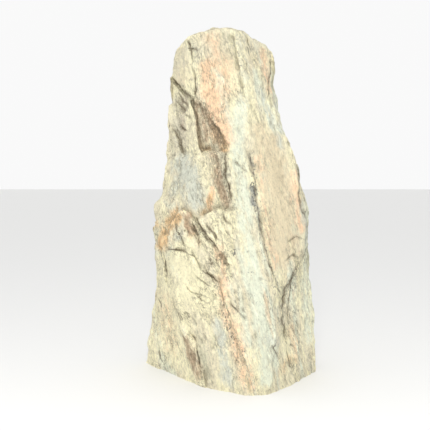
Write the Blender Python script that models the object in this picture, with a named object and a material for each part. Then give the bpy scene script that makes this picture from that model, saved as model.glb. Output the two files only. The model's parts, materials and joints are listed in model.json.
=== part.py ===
"""Marble fountain stone: one tall split block of banded marble, sawn flat underneath and drilled for water.

The surface is a stack of closed rings.  Ridge lines give the block its corners, straight faces join them,
and then the breaks, hollows, cracks and chips of the split stone are set into those faces.
Lengths in the tables are millimetres; everything built is in metres, with +Z up and the foot on Z = 0.
"""
import bmesh
import bpy
import numpy as np

NAME = "fountain_stone"
MM = 0.001

# How finely the block is faceted.
COLUMNS = 84
ROWS = 50
CROWN_ROWS = 5

# The drilled water channel, straight down through the block.
BORE_X = -10.0
BORE_Y = 8.0
BORE_DIAMETER = 30.0
BORE_SIDES = 32
DRILL_START = 0.05  # m, below the foot
DRILL_LENGTH = 0.95  # m, out past the crown

# Ridge lines of the block, anticlockwise as seen from above and starting at its left edge.
# Each point is (height, x, y) in mm.
RIDGES = {
    "left edge": [(0, -214, 93), (48, -214, 89), (76, -210, 86), (120, -202, 82), (160, -202, 79),
                  (202, -194, 75), (302, -188, 67), (338, -193, 64), (376, -199, 62), (402, -196, 60),
                  (418, -174, 58), (482, -158, 52), (530, -152, 47), (648, -144, 35), (700, -139, 30),
                  (730, -136, 26), (763, -129, 23)],
    "left front": [(0, -55, -107), (56, -77, -98), (125, -100, -87), (212, -116, -74), (301, -121, -65),
                   (380, -112, -57), (458, -89, -54), (526, -69, -52), (642, -78, -49), (782, -93, -38)],
    "left crest": [(0, 31, -155), (95, 21, -143), (200, -1, -130), (307, -18, -117), (404, -13, -105),
                   (502, -5, -95), (590, -9, -86), (678, -18, -76), (793, -31, -55)],
    "right crest": [(0, 85, -150), (137, 96, -138), (233, 75, -128), (329, 62, -118), (415, 47, -108),
                    (524, 32, -96), (633, 28, -83), (722, 22, -69), (791, 22, -50)],
    "right front": [(0, 139, -87), (100, 122, -78), (185, 126, -71), (252, 158, -65), (323, 168, -58),
                    (413, 161, -50), (526, 141, -47), (616, 102, -44), (695, 82, -37), (772, 62, -24)],
    "right edge": [(0, 209, 17), (60, 209, 18), (100, 204, 18), (136, 207, 19), (208, 201, 20),
                   (249, 189, 20), (292, 187, 20), (352, 188, 20), (387, 190, 20), (418, 180, 20),
                   (444, 167, 19), (482, 166, 18), (529, 145, 17), (587, 127, 15), (622, 112, 14),
                   (650, 115, 14), (680, 104, 13), (714, 108, 12), (736, 107, 11), (757, 101, 11)],
    "right back": [(0, 168, 125), (140, 160, 121), (255, 138, 114), (400, 132, 100), (520, 104, 96),
                   (600, 84, 88), (745, 55, 72)],
    "back": [(0, 30, 165), (180, 22, 158), (250, 6, 148), (450, 2, 132), (560, -14, 124), (650, -20, 108),
             (770, -25, 85)],
    "left back": [(0, -140, 150), (130, -146, 142), (220, -134, 132), (430, -120, 115), (620, -98, 98),
                  (750, -85, 74)],
}
# Share of the columns on the face that follows each ridge; the front is cut finer than the back.
FACE_SHARES = [0.16, 0.14, 0.10, 0.11, 0.14, 0.08, 0.09, 0.09, 0.09]

# Skyline of the crown: (x, height) in mm.  The crown rises to it behind the rim, quickly at first.
CROWN_SWELL = 3.0
SKYLINE = [(-134, 764), (-122, 788), (-107, 802), (-92, 798), (-75, 786), (-60, 788), (-50, 799),
           (-40, 804), (24, 804), (38, 800), (52, 794), (76, 787), (92, 778), (106, 758)]

# The sides that the breaks, hollows and cracks are laid out on: the way each one faces, as (x, y).
SIDES = {"front": (0.0, -1.0), "left": (-1.0, 0.0), "back": (0.0, 1.0), "right": (1.0, 0.0)}

# Breaks, where a layer has split off.  Going along the line, the face drops on the right-hand side
# and climbs back over the reach.  (side, drop, reach, [(across, up), ...]), all in mm, where across runs
# to the right as one looks at that side.
BREAKS = {
    "upper left seam": ("front", 6, 40, [(-100, 790), (-87, 756), (-81, 727), (-79, 682), (-77, 645)]),
    "upper left facet": ("front", 9, 55, [(-137, 701), (-119, 677), (-104, 660), (-88, 640)]),
    "deep wall": ("front", 18, 66, [(-64, 516), (-71, 566), (-78, 602), (-88, 646)]),
    "peach edge": ("front", 5, 50, [(-80, 656), (-71, 642), (-55, 618), (-37, 587), (-18, 550), (-4, 520)]),
    "sill": ("front", 6, 40, [(-6, 530), (-38, 526), (-68, 530)]),
    "shoulder": ("front", 12, 62, [(14, 392), (-22, 400), (-44, 390), (-75, 365), (-89, 383), (-107, 391),
                                   (-119, 386), (-132, 362), (-150, 330), (-170, 296)]),
    "main crack step": ("front", 7, 30, [(-76, 376), (-65, 355), (-40, 317), (-18, 291), (5, 247)]),
    "smooth facet": ("front", 5, 50, [(-18, 221), (-26, 239), (-51, 254), (-73, 271), (-89, 294),
                                      (-118, 302)]),
    "slab side": ("front", 10, 60, [(120, 98), (118, 192), (139, 235), (158, 256), (172, 274), (184, 313),
                                    (180, 348), (163, 400), (160, 468), (166, 487), (156, 512), (138, 548),
                                    (118, 580)]),
    "slab edge": ("front", 3, 36, [(118, 202), (102, 236), (82, 276), (65, 350), (54, 437), (37, 524)]),
    "top crease": ("front", 7, 36, [(5, 786), (13, 732), (26, 678), (37, 632)]),
    "right leaf": ("front", 9, 34, [(90, 615), (87, 685), (94, 711), (84, 762)]),
    "left fold": ("front", 4, 34, [(-101, 508), (-117, 542), (-125, 562), (-146, 590)]),
    "left column": ("front", 9, 36, [(-138, 212), (-145, 260), (-158, 308)]),
    "foot hollow": ("front", 8, 42, [(-50, -4), (-64, 44), (-77, 94), (-93, 119)]),
    "belly": ("front", 5, 46, [(-8, 300), (-18, 231), (-11, 171), (13, 120), (27, 76), (46, 2)]),
    "left side layer": ("left", 12, 70, [(-118, -4), (-98, 150), (-104, 290), (-82, 410), (-88, 520)]),
    "left side ledge": ("left", 13, 70, [(-8, 398), (-42, 352), (-84, 338), (-122, 300)]),
    "left top ledge": ("left", 9, 60, [(10, 610), (-30, 640), (-80, 628)]),
    "back layer": ("back", 13, 80, [(-92, -4), (-58, 180), (-70, 360), (-30, 560), (-22, 700)]),
    "back ledge": ("back", 15, 85, [(122, 322), (64, 268), (12, 280), (-52, 236)]),
    "back top ledge": ("back", 10, 60, [(86, 600), (40, 548), (-4, 566)]),
    "back foot ledge": ("back", 10, 55, [(-60, 92), (-10, 118), (60, 84), (120, 96)]),
    "right side layer": ("right", 11, 55, [(34, -4), (48, 130), (30, 260), (52, 400), (40, 520)]),
    "right side ledge": ("right", 12, 60, [(112, 352), (62, 300), (14, 318)]),
    "right top ledge": ("right", 9, 50, [(78, 610), (40, 560), (6, 578)]),
}
BREAK_FACE = 12.0  # mm, how wide the broken face of a step is
FADE = 22.0  # mm, over which a break or a crack runs out at its ends
OUTER_SHARE = 0.3  # of a fade or a hollow's bank that lies outside its line
FACING = (-0.05, 0.3)  # a face is carved from a side once it turns towards it by this much

# Hollows: (side, depth, bank width, outline) in mm.
HOLLOWS = {
    "back scoop": ("back", 14, 30, [(20, 500), (84, 470), (96, 392), (52, 352), (10, 400)]),
    "back furrow": ("back", 13, 14, [(-86, 60), (-62, 66), (-40, 190), (-52, 300), (-66, 300), (-66, 180)]),
    "left scoop": ("left", 10, 26, [(-96, 250), (-48, 262), (-34, 190), (-62, 120), (-98, 150)]),
    "right scoop": ("right", 9, 22, [(20, 250), (58, 240), (74, 160), (40, 110), (16, 170)]),
}

# Furrows, the wide ones, and cracks: (side, depth, half width, line) in mm.
CRACKS = {
    "slot": ("front", 6, 17, [(-32, 518), (-25, 476), (-18, 437), (-10, 408)]),
    "furrow": ("front", 3, 9, [(182, 308), (156, 261), (132, 222), (119, 180)]),
    "foot furrow": ("front", 9, 13, [(-103, 103), (-80, 87), (-73, 61), (-55, 8)]),
    "left furrow": ("front", 3, 6, [(-137, 600), (-127, 582), (-115, 552), (-106, 520)]),
    "shoulder pocket": ("front", 6, 12, [(-134, 378), (-119, 350)]),
    "left column": ("front", 6, 8, [(-165, 305), (-156, 278), (-148, 247)]),
    "seam": ("front", 6, 3, [(-96, 778), (-87, 756), (-81, 727), (-79, 682), (-78, 642)]),
    "facet crack": ("front", 9, 4, [(-136, 700), (-119, 677), (-104, 660), (-90, 642), (-83, 625), (-78, 598),
                                    (-73, 566), (-67, 526)]),
    "main crack": ("front", 7, 3, [(-74, 374), (-65, 355), (-51, 336), (-29, 304), (-18, 291), (-3, 264),
                                   (5, 249)]),
    "sheet crack": ("front", 5, 3, [(-140, 304), (-118, 302), (-102, 298), (-79, 284), (-64, 261), (-40, 250),
                                    (-24, 232)]),
    "brown stripe": ("front", 5, 3, [(-82, 366), (-75, 345), (-71, 322), (-69, 296)]),
    "crest crack": ("front", 5, 3, [(-20, 389), (-9, 372), (0, 365)]),
    "bottom of the recess": ("front", 6, 4, [(-68, 530), (-51, 530), (-40, 532)]),
    "foot hollow edge": ("front", 6, 3, [(-92, 116), (-78, 106), (-66, 60), (-63, 14)]),
    "slab side crack": ("front", 7, 4, [(127, 548), (158, 510), (162, 477), (157, 413), (174, 362),
                                        (184, 313)]),
    "low left crack": ("front", 5, 3, [(-173, 194), (-161, 170), (-152, 143)]),
    "fold crack": ("front", 5, 3, [(-126, 603), (-113, 583), (-95, 567)]),
    "sheet line": ("front", 5, 3, [(-56, 274), (-46, 256), (-34, 234)]),
    "column line": ("front", 5, 3, [(-151, 300), (-143, 264), (-136, 236)]),
    "left side crack": ("left", 7, 4, [(-70, 30), (-56, 150), (-66, 250), (-40, 330)]),
    "left top crack": ("left", 6, 4, [(-52, 690), (-40, 590), (-58, 500), (-44, 440)]),
    "back crack": ("back", 8, 4, [(70, 20), (52, 130), (66, 230), (48, 262)]),
    "back top crack": ("back", 7, 4, [(30, 740), (44, 640), (30, 560)]),
    "right side crack": ("right", 7, 4, [(88, 20), (70, 140), (84, 260), (70, 350)]),
    "right top crack": ("right", 6, 4, [(36, 700), (46, 620), (32, 540)]),
}

# Bulges, the low round swellings between them: (side, height, half width, line) in mm.
BULGES = {
    "belly": ("front", 7, 30, [(24, 150), (42, 107), (60, 50)]),
    "left belly": ("front", 5, 24, [(-36, 170), (-26, 105)]),
    "low left": ("front", 5, 30, [(-122, 192), (-96, 180)]),
    "shoulder": ("front", 5, 24, [(-60, 345), (-20, 350)]),
    "beside the slot": ("front", 5, 18, [(24, 520), (30, 440)]),
    "back": ("back", 8, 50, [(40, 200), (30, 90)]),
    "left": ("left", 6, 40, [(40, 300), (30, 180)]),
    "right": ("right", 6, 30, [(-20, 420), (-10, 250)]),
}

LEAST_CRACK = 7.0  # mm, the least half width that the facets can follow

# The marble is layered: its layers run down to the right across the front, and slope back into the block.
LAYER_LEAN = 0.22
LAYER_DIP = 0.30
SWELL = 6.0  # mm, the slow unevenness of the split faces
SWELL_CELL = (120.0, 120.0, 260.0)  # mm, across the layers, into the block and along them
SWELL_SEED = 3
MOUTH_REACH = 30.0  # mm, from the channel's axis to where the swell sets in fully
WANDER = 6.5  # mm, how far a break strays from its straight line
WANDER_CELL = 40.0  # mm
WANDER_SEEDS = (11, 17)

# Shell-shaped chips struck off the block.
CHIPS = 60
CHIP_RADII = (12.0, 34.0)
CHIP_DEPTH = 0.16  # of the chip's radius
CHIP_SQUASH = (1.0, 1.0, 0.6)  # a chip is longer up the block than across it
CHIP_RISES = (0.02, 0.98)  # the lowest and the highest chip, as a share of the block's height
CHIP_SEED = 12

LATTICE_SIZE = 32
LATTICE = np.random.default_rng(4).random((LATTICE_SIZE, LATTICE_SIZE, LATTICE_SIZE)) * 2 - 1

STONE_COLOUR = (0.72, 0.66, 0.51, 1.0)
STONE_ROUGHNESS = 0.62


def ease(value, low, high):
    """0 below low, 1 above high, and a smooth S between."""
    t = np.clip((value - low) / (high - low), 0.0, 1.0)
    return t * t * (3.0 - 2.0 * t)


def noise(points, cell, seed):
    """Smooth random hills, -1 to 1: values on a lattice of the given cell, blended with an S curve."""
    scaled = points / np.asarray(cell) + 5.37 * seed
    corner = np.floor(scaled).astype(int)
    part = ease(scaled - corner, 0.0, 1.0)
    total = np.zeros(points.shape[:-1])
    for step in np.ndindex(2, 2, 2):
        weight = np.prod(np.where(step, part, 1.0 - part), axis=-1)
        where = (corner + step) % LATTICE_SIZE
        total += weight * LATTICE[where[..., 0], where[..., 1], where[..., 2]]
    return total


def rough(points, cell, seed, octaves):
    """Noise on noise: each octave is half as large and half as strong as the one before."""
    parts = [0.5 ** k * noise(points, np.asarray(cell) * 0.5 ** k, seed + k) for k in range(octaves)]
    return sum(parts) / (2.0 - 0.5 ** (octaves - 1))


def ridge_points(turn, rise):
    """Points on the plain block: turn counts ridges round it, rise goes from 0, foot, to 1, rim."""
    lines = []
    for ridge in RIDGES.values():
        height, x, y = np.array(ridge, float).T
        level = rise * height[-1]
        lines.append(np.stack([np.interp(level, height, x), np.interp(level, height, y), level], axis=-1))
    lines = np.array(lines)
    first = np.floor(turn).astype(int) % len(RIDGES)
    share = (turn - np.floor(turn))[:, None, None]
    return lines[first] * (1.0 - share) + lines[(first + 1) % len(RIDGES)] * share


def column_turns():
    """Where the columns stand, counted in ridges, shared out between the faces by FACE_SHARES."""
    ends = np.concatenate([[0.0], np.cumsum(FACE_SHARES)]) / sum(FACE_SHARES)
    return np.interp(np.arange(COLUMNS) / COLUMNS, ends, np.arange(len(ends)))


def crown_rings(rim):
    """Rings from the rim in towards the water channel, rising to the skyline on the way."""
    inward = np.linspace(0.0, 1.0, CROWN_ROWS + 2)[1:-1, None]
    turn = np.arctan2(rim[:, 1] - BORE_Y, rim[:, 0] - BORE_X)
    radius = 0.5 * BORE_DIAMETER
    end = np.stack([BORE_X + radius * np.cos(turn), BORE_Y + radius * np.sin(turn)], axis=-1)
    flat = rim[None, :, :2] * (1.0 - inward[..., None]) + end[None] * inward[..., None]
    across, sky = np.array(SKYLINE, float).T
    rise = 1.0 - (1.0 - inward) ** CROWN_SWELL
    height = rim[None, :, 2] * (1.0 - rise) + np.interp(flat[..., 0], across, sky) * rise
    return np.concatenate([flat, height[..., None]], axis=-1)


def worn(rings):
    """Wear down the ridges and the rim: each point moves halfway to the middle of its neighbours."""
    ring_mean = 0.5 * (np.roll(rings, 1, axis=1) + np.roll(rings, -1, axis=1))
    rings = 0.5 * (rings + ring_mean)
    column_mean = 0.5 * (rings[:-2] + rings[2:])
    rings[1:-1] = 0.5 * (rings[1:-1] + column_mean)
    return rings


def normals(rings):
    """Unit normals of the rings, pointing out of the stone."""
    along = np.roll(rings, -1, axis=1) - np.roll(rings, 1, axis=1)
    up = np.gradient(rings, axis=0)
    normal = np.cross(along, up)
    return normal / np.maximum(np.linalg.norm(normal, axis=-1, keepdims=True), 1e-9)


def in_layers(points):
    """The points measured across the marble's layers, into the block, and along them."""
    x, y, z = np.moveaxis(points, -1, 0)
    return np.stack([x + LAYER_LEAN * z + LAYER_DIP * y, y, z - LAYER_LEAN * x], axis=-1)


def beside(across, up, line, closed=False):
    """Distance to a line of straight pieces, plus on its right-hand side, and how far along it that is."""
    points = np.array(line + line[:1] if closed else line, float)
    nearest = np.full(across.shape, np.inf)
    signed = np.zeros(across.shape)
    along = np.zeros(across.shape)
    start = 0.0
    for (x0, z0), (x1, z1) in zip(points[:-1], points[1:]):
        length = np.hypot(x1 - x0, z1 - z0)
        ux, uz = (x1 - x0) / length, (z1 - z0) / length
        run = (across - x0) * ux + (up - z0) * uz
        held = np.clip(run, 0.0, length)
        distance = np.hypot(across - x0 - held * ux, up - z0 - held * uz)
        side = np.sign((across - x0) * uz - (up - z0) * ux)
        closer = distance < nearest
        nearest = np.where(closer, distance, nearest)
        signed = np.where(closer, distance * side, signed)
        along = np.where(closer, start + run, along)
        start += length
    return signed, along, start


def runs_out(along, length):
    """1 along a line and 0 past its ends, with a smooth fade."""
    low, high = -OUTER_SHARE * FADE, (1.0 - OUTER_SHARE) * FADE
    return ease(along, low, high) * ease(length - along, low, high)


def inside_outline(across, up, outline):
    """Distance in from a closed outline, negative outside it."""
    signed, _, _ = beside(across, up, outline, closed=True)
    inside = np.zeros(across.shape, bool)
    for (x0, z0), (x1, z1) in zip(outline, outline[1:] + outline[:1]):
        spans = (z0 > up) != (z1 > up)
        crossing = x0 + (up - z0) * (x1 - x0) / (z1 - z0 if z1 != z0 else 1.0)
        inside ^= spans & (across < crossing)
    return np.where(inside, np.abs(signed), -np.abs(signed))


def carved_depth(side, across, up):
    """How deep the breaks, hollows and cracks of one side go at each point, less its bulges, in mm."""
    depth = np.zeros(across.shape)
    for where, drop, reach, line in BREAKS.values():
        if where == side:
            distance, along, length = beside(across, up, line)
            fall = ease(distance, -0.5 * BREAK_FACE, 0.5 * BREAK_FACE)
            climb = np.clip(1.0 - distance / reach, 0.0, 1.0)
            depth += drop * fall * climb * runs_out(along, length)
    for where, deep, bank, outline in HOLLOWS.values():
        if where == side:
            inside = inside_outline(across, up, outline)
            depth += deep * ease(inside, -OUTER_SHARE * bank, (1.0 - OUTER_SHARE) * bank)
    for where, deep, half, line in CRACKS.values():
        if where == side:
            distance, along, length = beside(across, up, line)
            groove = np.exp(-(distance / max(half, LEAST_CRACK)) ** 2)
            depth += deep * groove * runs_out(along, length)
    for where, high, half, line in BULGES.values():
        if where == side:
            distance, _, _ = beside(across, up, line)
            depth -= high * np.exp(-(distance / half) ** 2)
    return depth


def carve(rings, outward):
    """Set the breaks, hollows, cracks and bulges of all four sides into the rings."""
    stray = np.stack([rough(rings, WANDER_CELL, seed, 4) for seed in WANDER_SEEDS], axis=-1) * WANDER
    moved = rings.copy()
    for side, (way_x, way_y) in SIDES.items():
        way = np.array([way_x, way_y, 0.0])
        across = -way_y * rings[..., 0] + way_x * rings[..., 1] + stray[..., 0]
        up = rings[..., 2] + stray[..., 1]
        facing = ease(outward @ way, *FACING)
        depth = carved_depth(side, across, up) * facing
        moved -= depth[..., None] * way
    return moved


def chip_places():
    """Centres and radii of the chips, spread at random over the block."""
    draw = np.random.default_rng(CHIP_SEED)
    turns = draw.random(CHIPS) * len(RIDGES)
    rises = CHIP_RISES[0] + (CHIP_RISES[1] - CHIP_RISES[0]) * draw.random(CHIPS)
    radii = CHIP_RADII[0] + (CHIP_RADII[1] - CHIP_RADII[0]) * draw.random(CHIPS) ** 2
    centres = [ridge_points(np.array([turn]), np.array([rise]))[0, 0] for turn, rise in zip(turns, rises)]
    return zip(centres, radii)


def chipped(rings):
    """Depth of the shell-shaped chips, in mm: a shallow bowl with a crisp rim, the deepest one counting."""
    depth = np.zeros(rings.shape[:-1])
    for centre, radius in chip_places():
        away = np.linalg.norm((rings - centre) * CHIP_SQUASH, axis=-1)
        depth = np.maximum(depth, CHIP_DEPTH * radius * np.clip(1.0 - (away / radius) ** 2, 0.0, 1.0))
    return depth


def stone_rings():
    """All rings of the outside in mm, from the foot up over the rim and in towards the water channel."""
    body = ridge_points(column_turns(), np.linspace(0.0, 1.0, ROWS)).transpose(1, 0, 2)
    rings = worn(np.concatenate([body, crown_rings(body[-1])]))
    outward = normals(rings)
    from_axis = np.hypot(rings[..., 0] - BORE_X, rings[..., 1] - BORE_Y)
    mouth_fade = ease(from_axis, 0.5 * BORE_DIAMETER, MOUTH_REACH)
    uneven = SWELL * rough(in_layers(rings), SWELL_CELL, SWELL_SEED, 3) - chipped(rings)
    push = np.where(rings[..., 2:] > 1.0, outward, outward * (1.0, 1.0, 0.0))  # the foot ring stays level
    rings = rings + push * (uneven * mouth_fade)[..., None]
    rings = carve(rings, outward)
    rings[0, :, 2] = 0.0
    return rings


def facets(rings):
    """Two triangles for each cell, parted along the diagonal whose ends lie closer together in depth."""
    count, around = rings.shape[:2]
    index = np.arange(count * around).reshape(count, around)
    a, d = index[:-1], index[1:]
    b, c = np.roll(a, -1, axis=1), np.roll(d, -1, axis=1)
    flat = rings.reshape(-1, 3)
    first = np.linalg.norm(flat[a] - flat[c], axis=-1) <= np.linalg.norm(flat[b] - flat[d], axis=-1)
    one = np.where(first[..., None], np.stack([a, b, c], -1), np.stack([a, b, d], -1))
    two = np.where(first[..., None], np.stack([a, c, d], -1), np.stack([b, c, d], -1))
    return np.concatenate([one.reshape(-1, 3), two.reshape(-1, 3)])


def stone_mesh(rings):
    """The faceted block before drilling, closed flat underneath and over the middle of the crown."""
    mesh = bpy.data.meshes.new(NAME)
    mesh.from_pydata((rings.reshape(-1, 3) * MM).tolist(), [], facets(rings).tolist())
    shape = bmesh.new()
    shape.from_mesh(mesh)
    bmesh.ops.holes_fill(shape, edges=shape.edges, sides=0)
    bmesh.ops.triangulate(shape, faces=[face for face in shape.faces if len(face.verts) > 3])
    bmesh.ops.recalc_face_normals(shape, faces=shape.faces)
    shape.to_mesh(mesh)
    shape.free()
    return mesh


def drill():
    """The cutter for the water channel: a plain cylinder that runs past both ends, out of sight."""
    mesh = bpy.data.meshes.new("drill")
    shape = bmesh.new()
    radius = 0.5 * BORE_DIAMETER * MM
    bmesh.ops.create_cone(shape, cap_ends=True, segments=BORE_SIDES, radius1=radius, radius2=radius,
                          depth=DRILL_LENGTH)
    shape.to_mesh(mesh)
    shape.free()
    cutter = bpy.data.objects.new("drill", mesh)
    cutter.location = (BORE_X * MM, BORE_Y * MM, 0.5 * DRILL_LENGTH - DRILL_START)
    cutter.hide_render = True
    cutter.display_type = "WIRE"
    bpy.context.collection.objects.link(cutter)
    return cutter


def marble():
    """Pale split marble, unpolished."""
    material = bpy.data.materials.new("marble")
    material.use_nodes = True
    shader = material.node_tree.nodes["Principled BSDF"]
    shader.inputs["Base Color"].default_value = STONE_COLOUR
    shader.inputs["Roughness"].default_value = STONE_ROUGHNESS
    shader.inputs["Metallic"].default_value = 0.0
    return material


def main():
    for thing in list(bpy.data.objects):
        bpy.data.objects.remove(thing, do_unlink=True)
    rings = stone_rings()
    mesh = stone_mesh(rings)
    mesh.materials.append(marble())
    stone = bpy.data.objects.new(NAME, mesh)
    bpy.context.collection.objects.link(stone)
    corners = rings.reshape(-1, 3)
    middle = 0.5 * (corners.min(axis=0) + corners.max(axis=0)) * MM
    stone.location = (-middle[0], -middle[1], 0.0)
    cutter = drill()
    cutter.parent = stone
    channel = stone.modifiers.new("water channel", "BOOLEAN")
    channel.operation = "DIFFERENCE"
    channel.solver = "EXACT"
    channel.object = cutter


if __name__ == "__main__":
    main()
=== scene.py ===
# %% [markdown]
# # A marble fountain stone
# A fountain stone is one tall block of layered marble. It was split from its bed with wedges, sawn flat
# underneath so that it stands, and drilled from crown to foot for a water pipe. There is only one piece to
# make, so the whole lesson is about its surface: first the big split faces, then the steps and cracks in
# them, then the fine splinters, and last the colours that run through the layers.

# %% Load the frame
import json
import math

import bpy
import numpy as np
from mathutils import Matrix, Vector

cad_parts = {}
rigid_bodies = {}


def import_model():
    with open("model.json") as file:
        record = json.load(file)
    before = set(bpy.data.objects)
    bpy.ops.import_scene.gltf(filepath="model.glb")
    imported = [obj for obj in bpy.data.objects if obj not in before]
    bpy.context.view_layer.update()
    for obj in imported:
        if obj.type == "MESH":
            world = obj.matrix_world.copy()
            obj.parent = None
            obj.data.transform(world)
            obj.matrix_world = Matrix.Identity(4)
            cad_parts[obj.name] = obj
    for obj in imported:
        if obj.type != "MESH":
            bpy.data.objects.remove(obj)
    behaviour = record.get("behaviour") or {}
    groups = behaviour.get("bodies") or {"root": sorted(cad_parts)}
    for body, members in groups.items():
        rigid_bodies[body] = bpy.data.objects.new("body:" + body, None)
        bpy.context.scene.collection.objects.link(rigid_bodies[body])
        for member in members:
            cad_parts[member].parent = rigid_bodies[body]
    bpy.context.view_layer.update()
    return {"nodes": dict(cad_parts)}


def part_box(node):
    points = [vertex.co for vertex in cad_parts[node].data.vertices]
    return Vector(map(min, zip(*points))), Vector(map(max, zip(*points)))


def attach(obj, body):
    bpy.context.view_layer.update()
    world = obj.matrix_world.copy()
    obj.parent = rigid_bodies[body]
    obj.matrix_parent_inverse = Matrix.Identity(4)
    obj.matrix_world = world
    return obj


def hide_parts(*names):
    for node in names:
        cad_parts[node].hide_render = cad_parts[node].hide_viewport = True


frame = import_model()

STONE = "fountain_stone"
stone_low, stone_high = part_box(STONE)
print("nodes:", sorted(frame["nodes"]), "size:", np.round(stone_high - stone_low, 4), "m")

# %% [markdown]
# ## Random hills
# Split stone is uneven at every size. Blender has noise textures, but a texture can't move a mesh that is
# worked out in numpy, so the hills are made here: random numbers on a cubic lattice, blended with an S curve
# between the lattice points. Adding octaves, each half as large and half as strong, makes it rough. The
# lattice is seeded, so the stone comes out the same each time.

# %% Random hills
MM = 0.001
LATTICE_SIZE = 32
LATTICE_SEED = 4
SEED_STEP = 5.37  # lattice cells from one seed's noise to the next one's
LATTICE = np.random.default_rng(LATTICE_SEED).random((LATTICE_SIZE,) * 3) * 2 - 1


def ease(value, low, high):
    """0 below low, 1 above high, and a smooth S between: 3t^2 - 2t^3."""
    t = np.clip((value - low) / (high - low), 0.0, 1.0)
    return t * t * (3.0 - 2.0 * t)


def noise(points, cell, seed):
    """Smooth random hills, -1 to 1: the eight lattice values round a point, weighted by S curves."""
    scaled = points / np.asarray(cell) + SEED_STEP * seed
    corner = np.floor(scaled).astype(int)
    part = ease(scaled - corner, 0.0, 1.0)
    total = np.zeros(points.shape[:-1])
    for step in np.ndindex(2, 2, 2):
        weight = np.prod(np.where(step, part, 1.0 - part), axis=-1)
        where = (corner + step) % LATTICE_SIZE
        total += weight * LATTICE[where[..., 0], where[..., 1], where[..., 2]]
    return total


def rough(points, cell, seed, octaves):
    """Noise on noise: each octave is half as large and half as strong as the one before."""
    parts = [0.5 ** k * noise(points, np.asarray(cell) * 0.5 ** k, seed + k) for k in range(octaves)]
    return sum(parts) / (2.0 - 0.5 ** (octaves - 1))


print("lattice of", LATTICE.size, "random numbers, mean", round(float(LATTICE.mean()), 3))

# %% [markdown]
# ## The block
# The block has nine ridges. Each ridge is a line from the foot to the rim, given by the few points where it
# turns, and straight faces join one ridge to the next. That is how a split block looks from a few steps
# away, and it keeps the outline in a short list that can be read and changed. The front is the side towards
# -Y. Lengths are in millimetres until the mesh is made.

# %% Ridge lines
# Anticlockwise as seen from above, from the left edge. Each point is (height, x, y) in mm.
RIDGES = {
    "left edge": [(0, -214, 93), (48, -214, 89), (76, -210, 86), (120, -202, 82), (160, -202, 79),
                  (202, -194, 75), (302, -188, 67), (338, -193, 64), (376, -199, 62), (402, -196, 60),
                  (418, -174, 58), (482, -158, 52), (530, -152, 47), (648, -144, 35), (700, -139, 30),
                  (730, -136, 26), (763, -129, 23)],
    "left front": [(0, -55, -107), (56, -77, -98), (125, -100, -87), (212, -116, -74), (301, -121, -65),
                   (380, -112, -57), (458, -89, -54), (526, -69, -52), (642, -78, -49), (782, -93, -38)],
    "left crest": [(0, 31, -155), (95, 21, -143), (200, -1, -130), (307, -18, -117), (404, -13, -105),
                   (502, -5, -95), (590, -9, -86), (678, -18, -76), (793, -31, -55)],
    "right crest": [(0, 85, -150), (137, 96, -138), (233, 75, -128), (329, 62, -118), (415, 47, -108),
                    (524, 32, -96), (633, 28, -83), (722, 22, -69), (791, 22, -50)],
    "right front": [(0, 139, -87), (100, 122, -78), (185, 126, -71), (252, 158, -65), (323, 168, -58),
                    (413, 161, -50), (526, 141, -47), (616, 102, -44), (695, 82, -37), (772, 62, -24)],
    "right edge": [(0, 209, 17), (60, 209, 18), (100, 204, 18), (136, 207, 19), (208, 201, 20),
                   (249, 189, 20), (292, 187, 20), (352, 188, 20), (387, 190, 20), (418, 180, 20),
                   (444, 167, 19), (482, 166, 18), (529, 145, 17), (587, 127, 15), (622, 112, 14),
                   (650, 115, 14), (680, 104, 13), (714, 108, 12), (736, 107, 11), (757, 101, 11)],
    "right back": [(0, 168, 125), (140, 160, 121), (255, 138, 114), (400, 132, 100), (520, 104, 96),
                   (600, 84, 88), (745, 55, 72)],
    "back": [(0, 30, 165), (180, 22, 158), (250, 6, 148), (450, 2, 132), (560, -14, 124), (650, -20, 108),
             (770, -25, 85)],
    "left back": [(0, -140, 150), (130, -146, 142), (220, -134, 132), (430, -120, 115), (620, -98, 98),
                  (750, -85, 74)],
}
print("ridges:", len(RIDGES), "with", sum(len(ridge) for ridge in RIDGES.values()), "points")

# %% The plain block
# Share of the columns on the face after each ridge: the front is meshed finer than the back.
FACE_SHARES = [0.17, 0.15, 0.10, 0.11, 0.14, 0.08, 0.085, 0.085, 0.08]
COLUMNS = 344
ROWS = 240


def ridge_points(turn, rise):
    """Points on the plain block: turn counts ridges round it, rise goes from 0, foot, to 1, rim."""
    lines = []
    for ridge in RIDGES.values():
        height, x, y = np.array(ridge, float).T
        level = rise * height[-1]
        lines.append(np.stack([np.interp(level, height, x), np.interp(level, height, y), level], axis=-1))
    lines = np.array(lines)
    first = np.floor(turn).astype(int) % len(RIDGES)
    share = (turn - np.floor(turn))[:, None, None]
    return lines[first] * (1.0 - share) + lines[(first + 1) % len(RIDGES)] * share


def column_turns(columns):
    """Where the columns stand, counted in ridges, shared out between the faces by FACE_SHARES."""
    ends = np.concatenate([[0.0], np.cumsum(FACE_SHARES)]) / sum(FACE_SHARES)
    return np.interp(np.arange(columns) / columns, ends, np.arange(len(ends)))


body_rings = ridge_points(column_turns(COLUMNS), np.linspace(0.0, 1.0, ROWS)).transpose(1, 0, 2)
print("body:", body_rings.shape[0], "rings of", body_rings.shape[1], "points")

# %% [markdown]
# ## The crown and the water channel
# From the rim the rings close in on the water channel, and rise to the crown's skyline on the way, quickly
# at first and then ever more slowly. The channel is a plain drilled hole: rings that go straight down it, and
# then out across the sawn foot to meet the first ring. Closing the surface through the channel like this
# leaves no pole and no open edge anywhere.

# %% Crown and channel
BORE_X = -10.0  # mm, as are the next two
BORE_Y = 8.0
BORE_RADIUS = 15.0
CROWN_ROWS = 26
CHANNEL_ROWS = 6
FOOT_ROWS = 6
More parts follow.
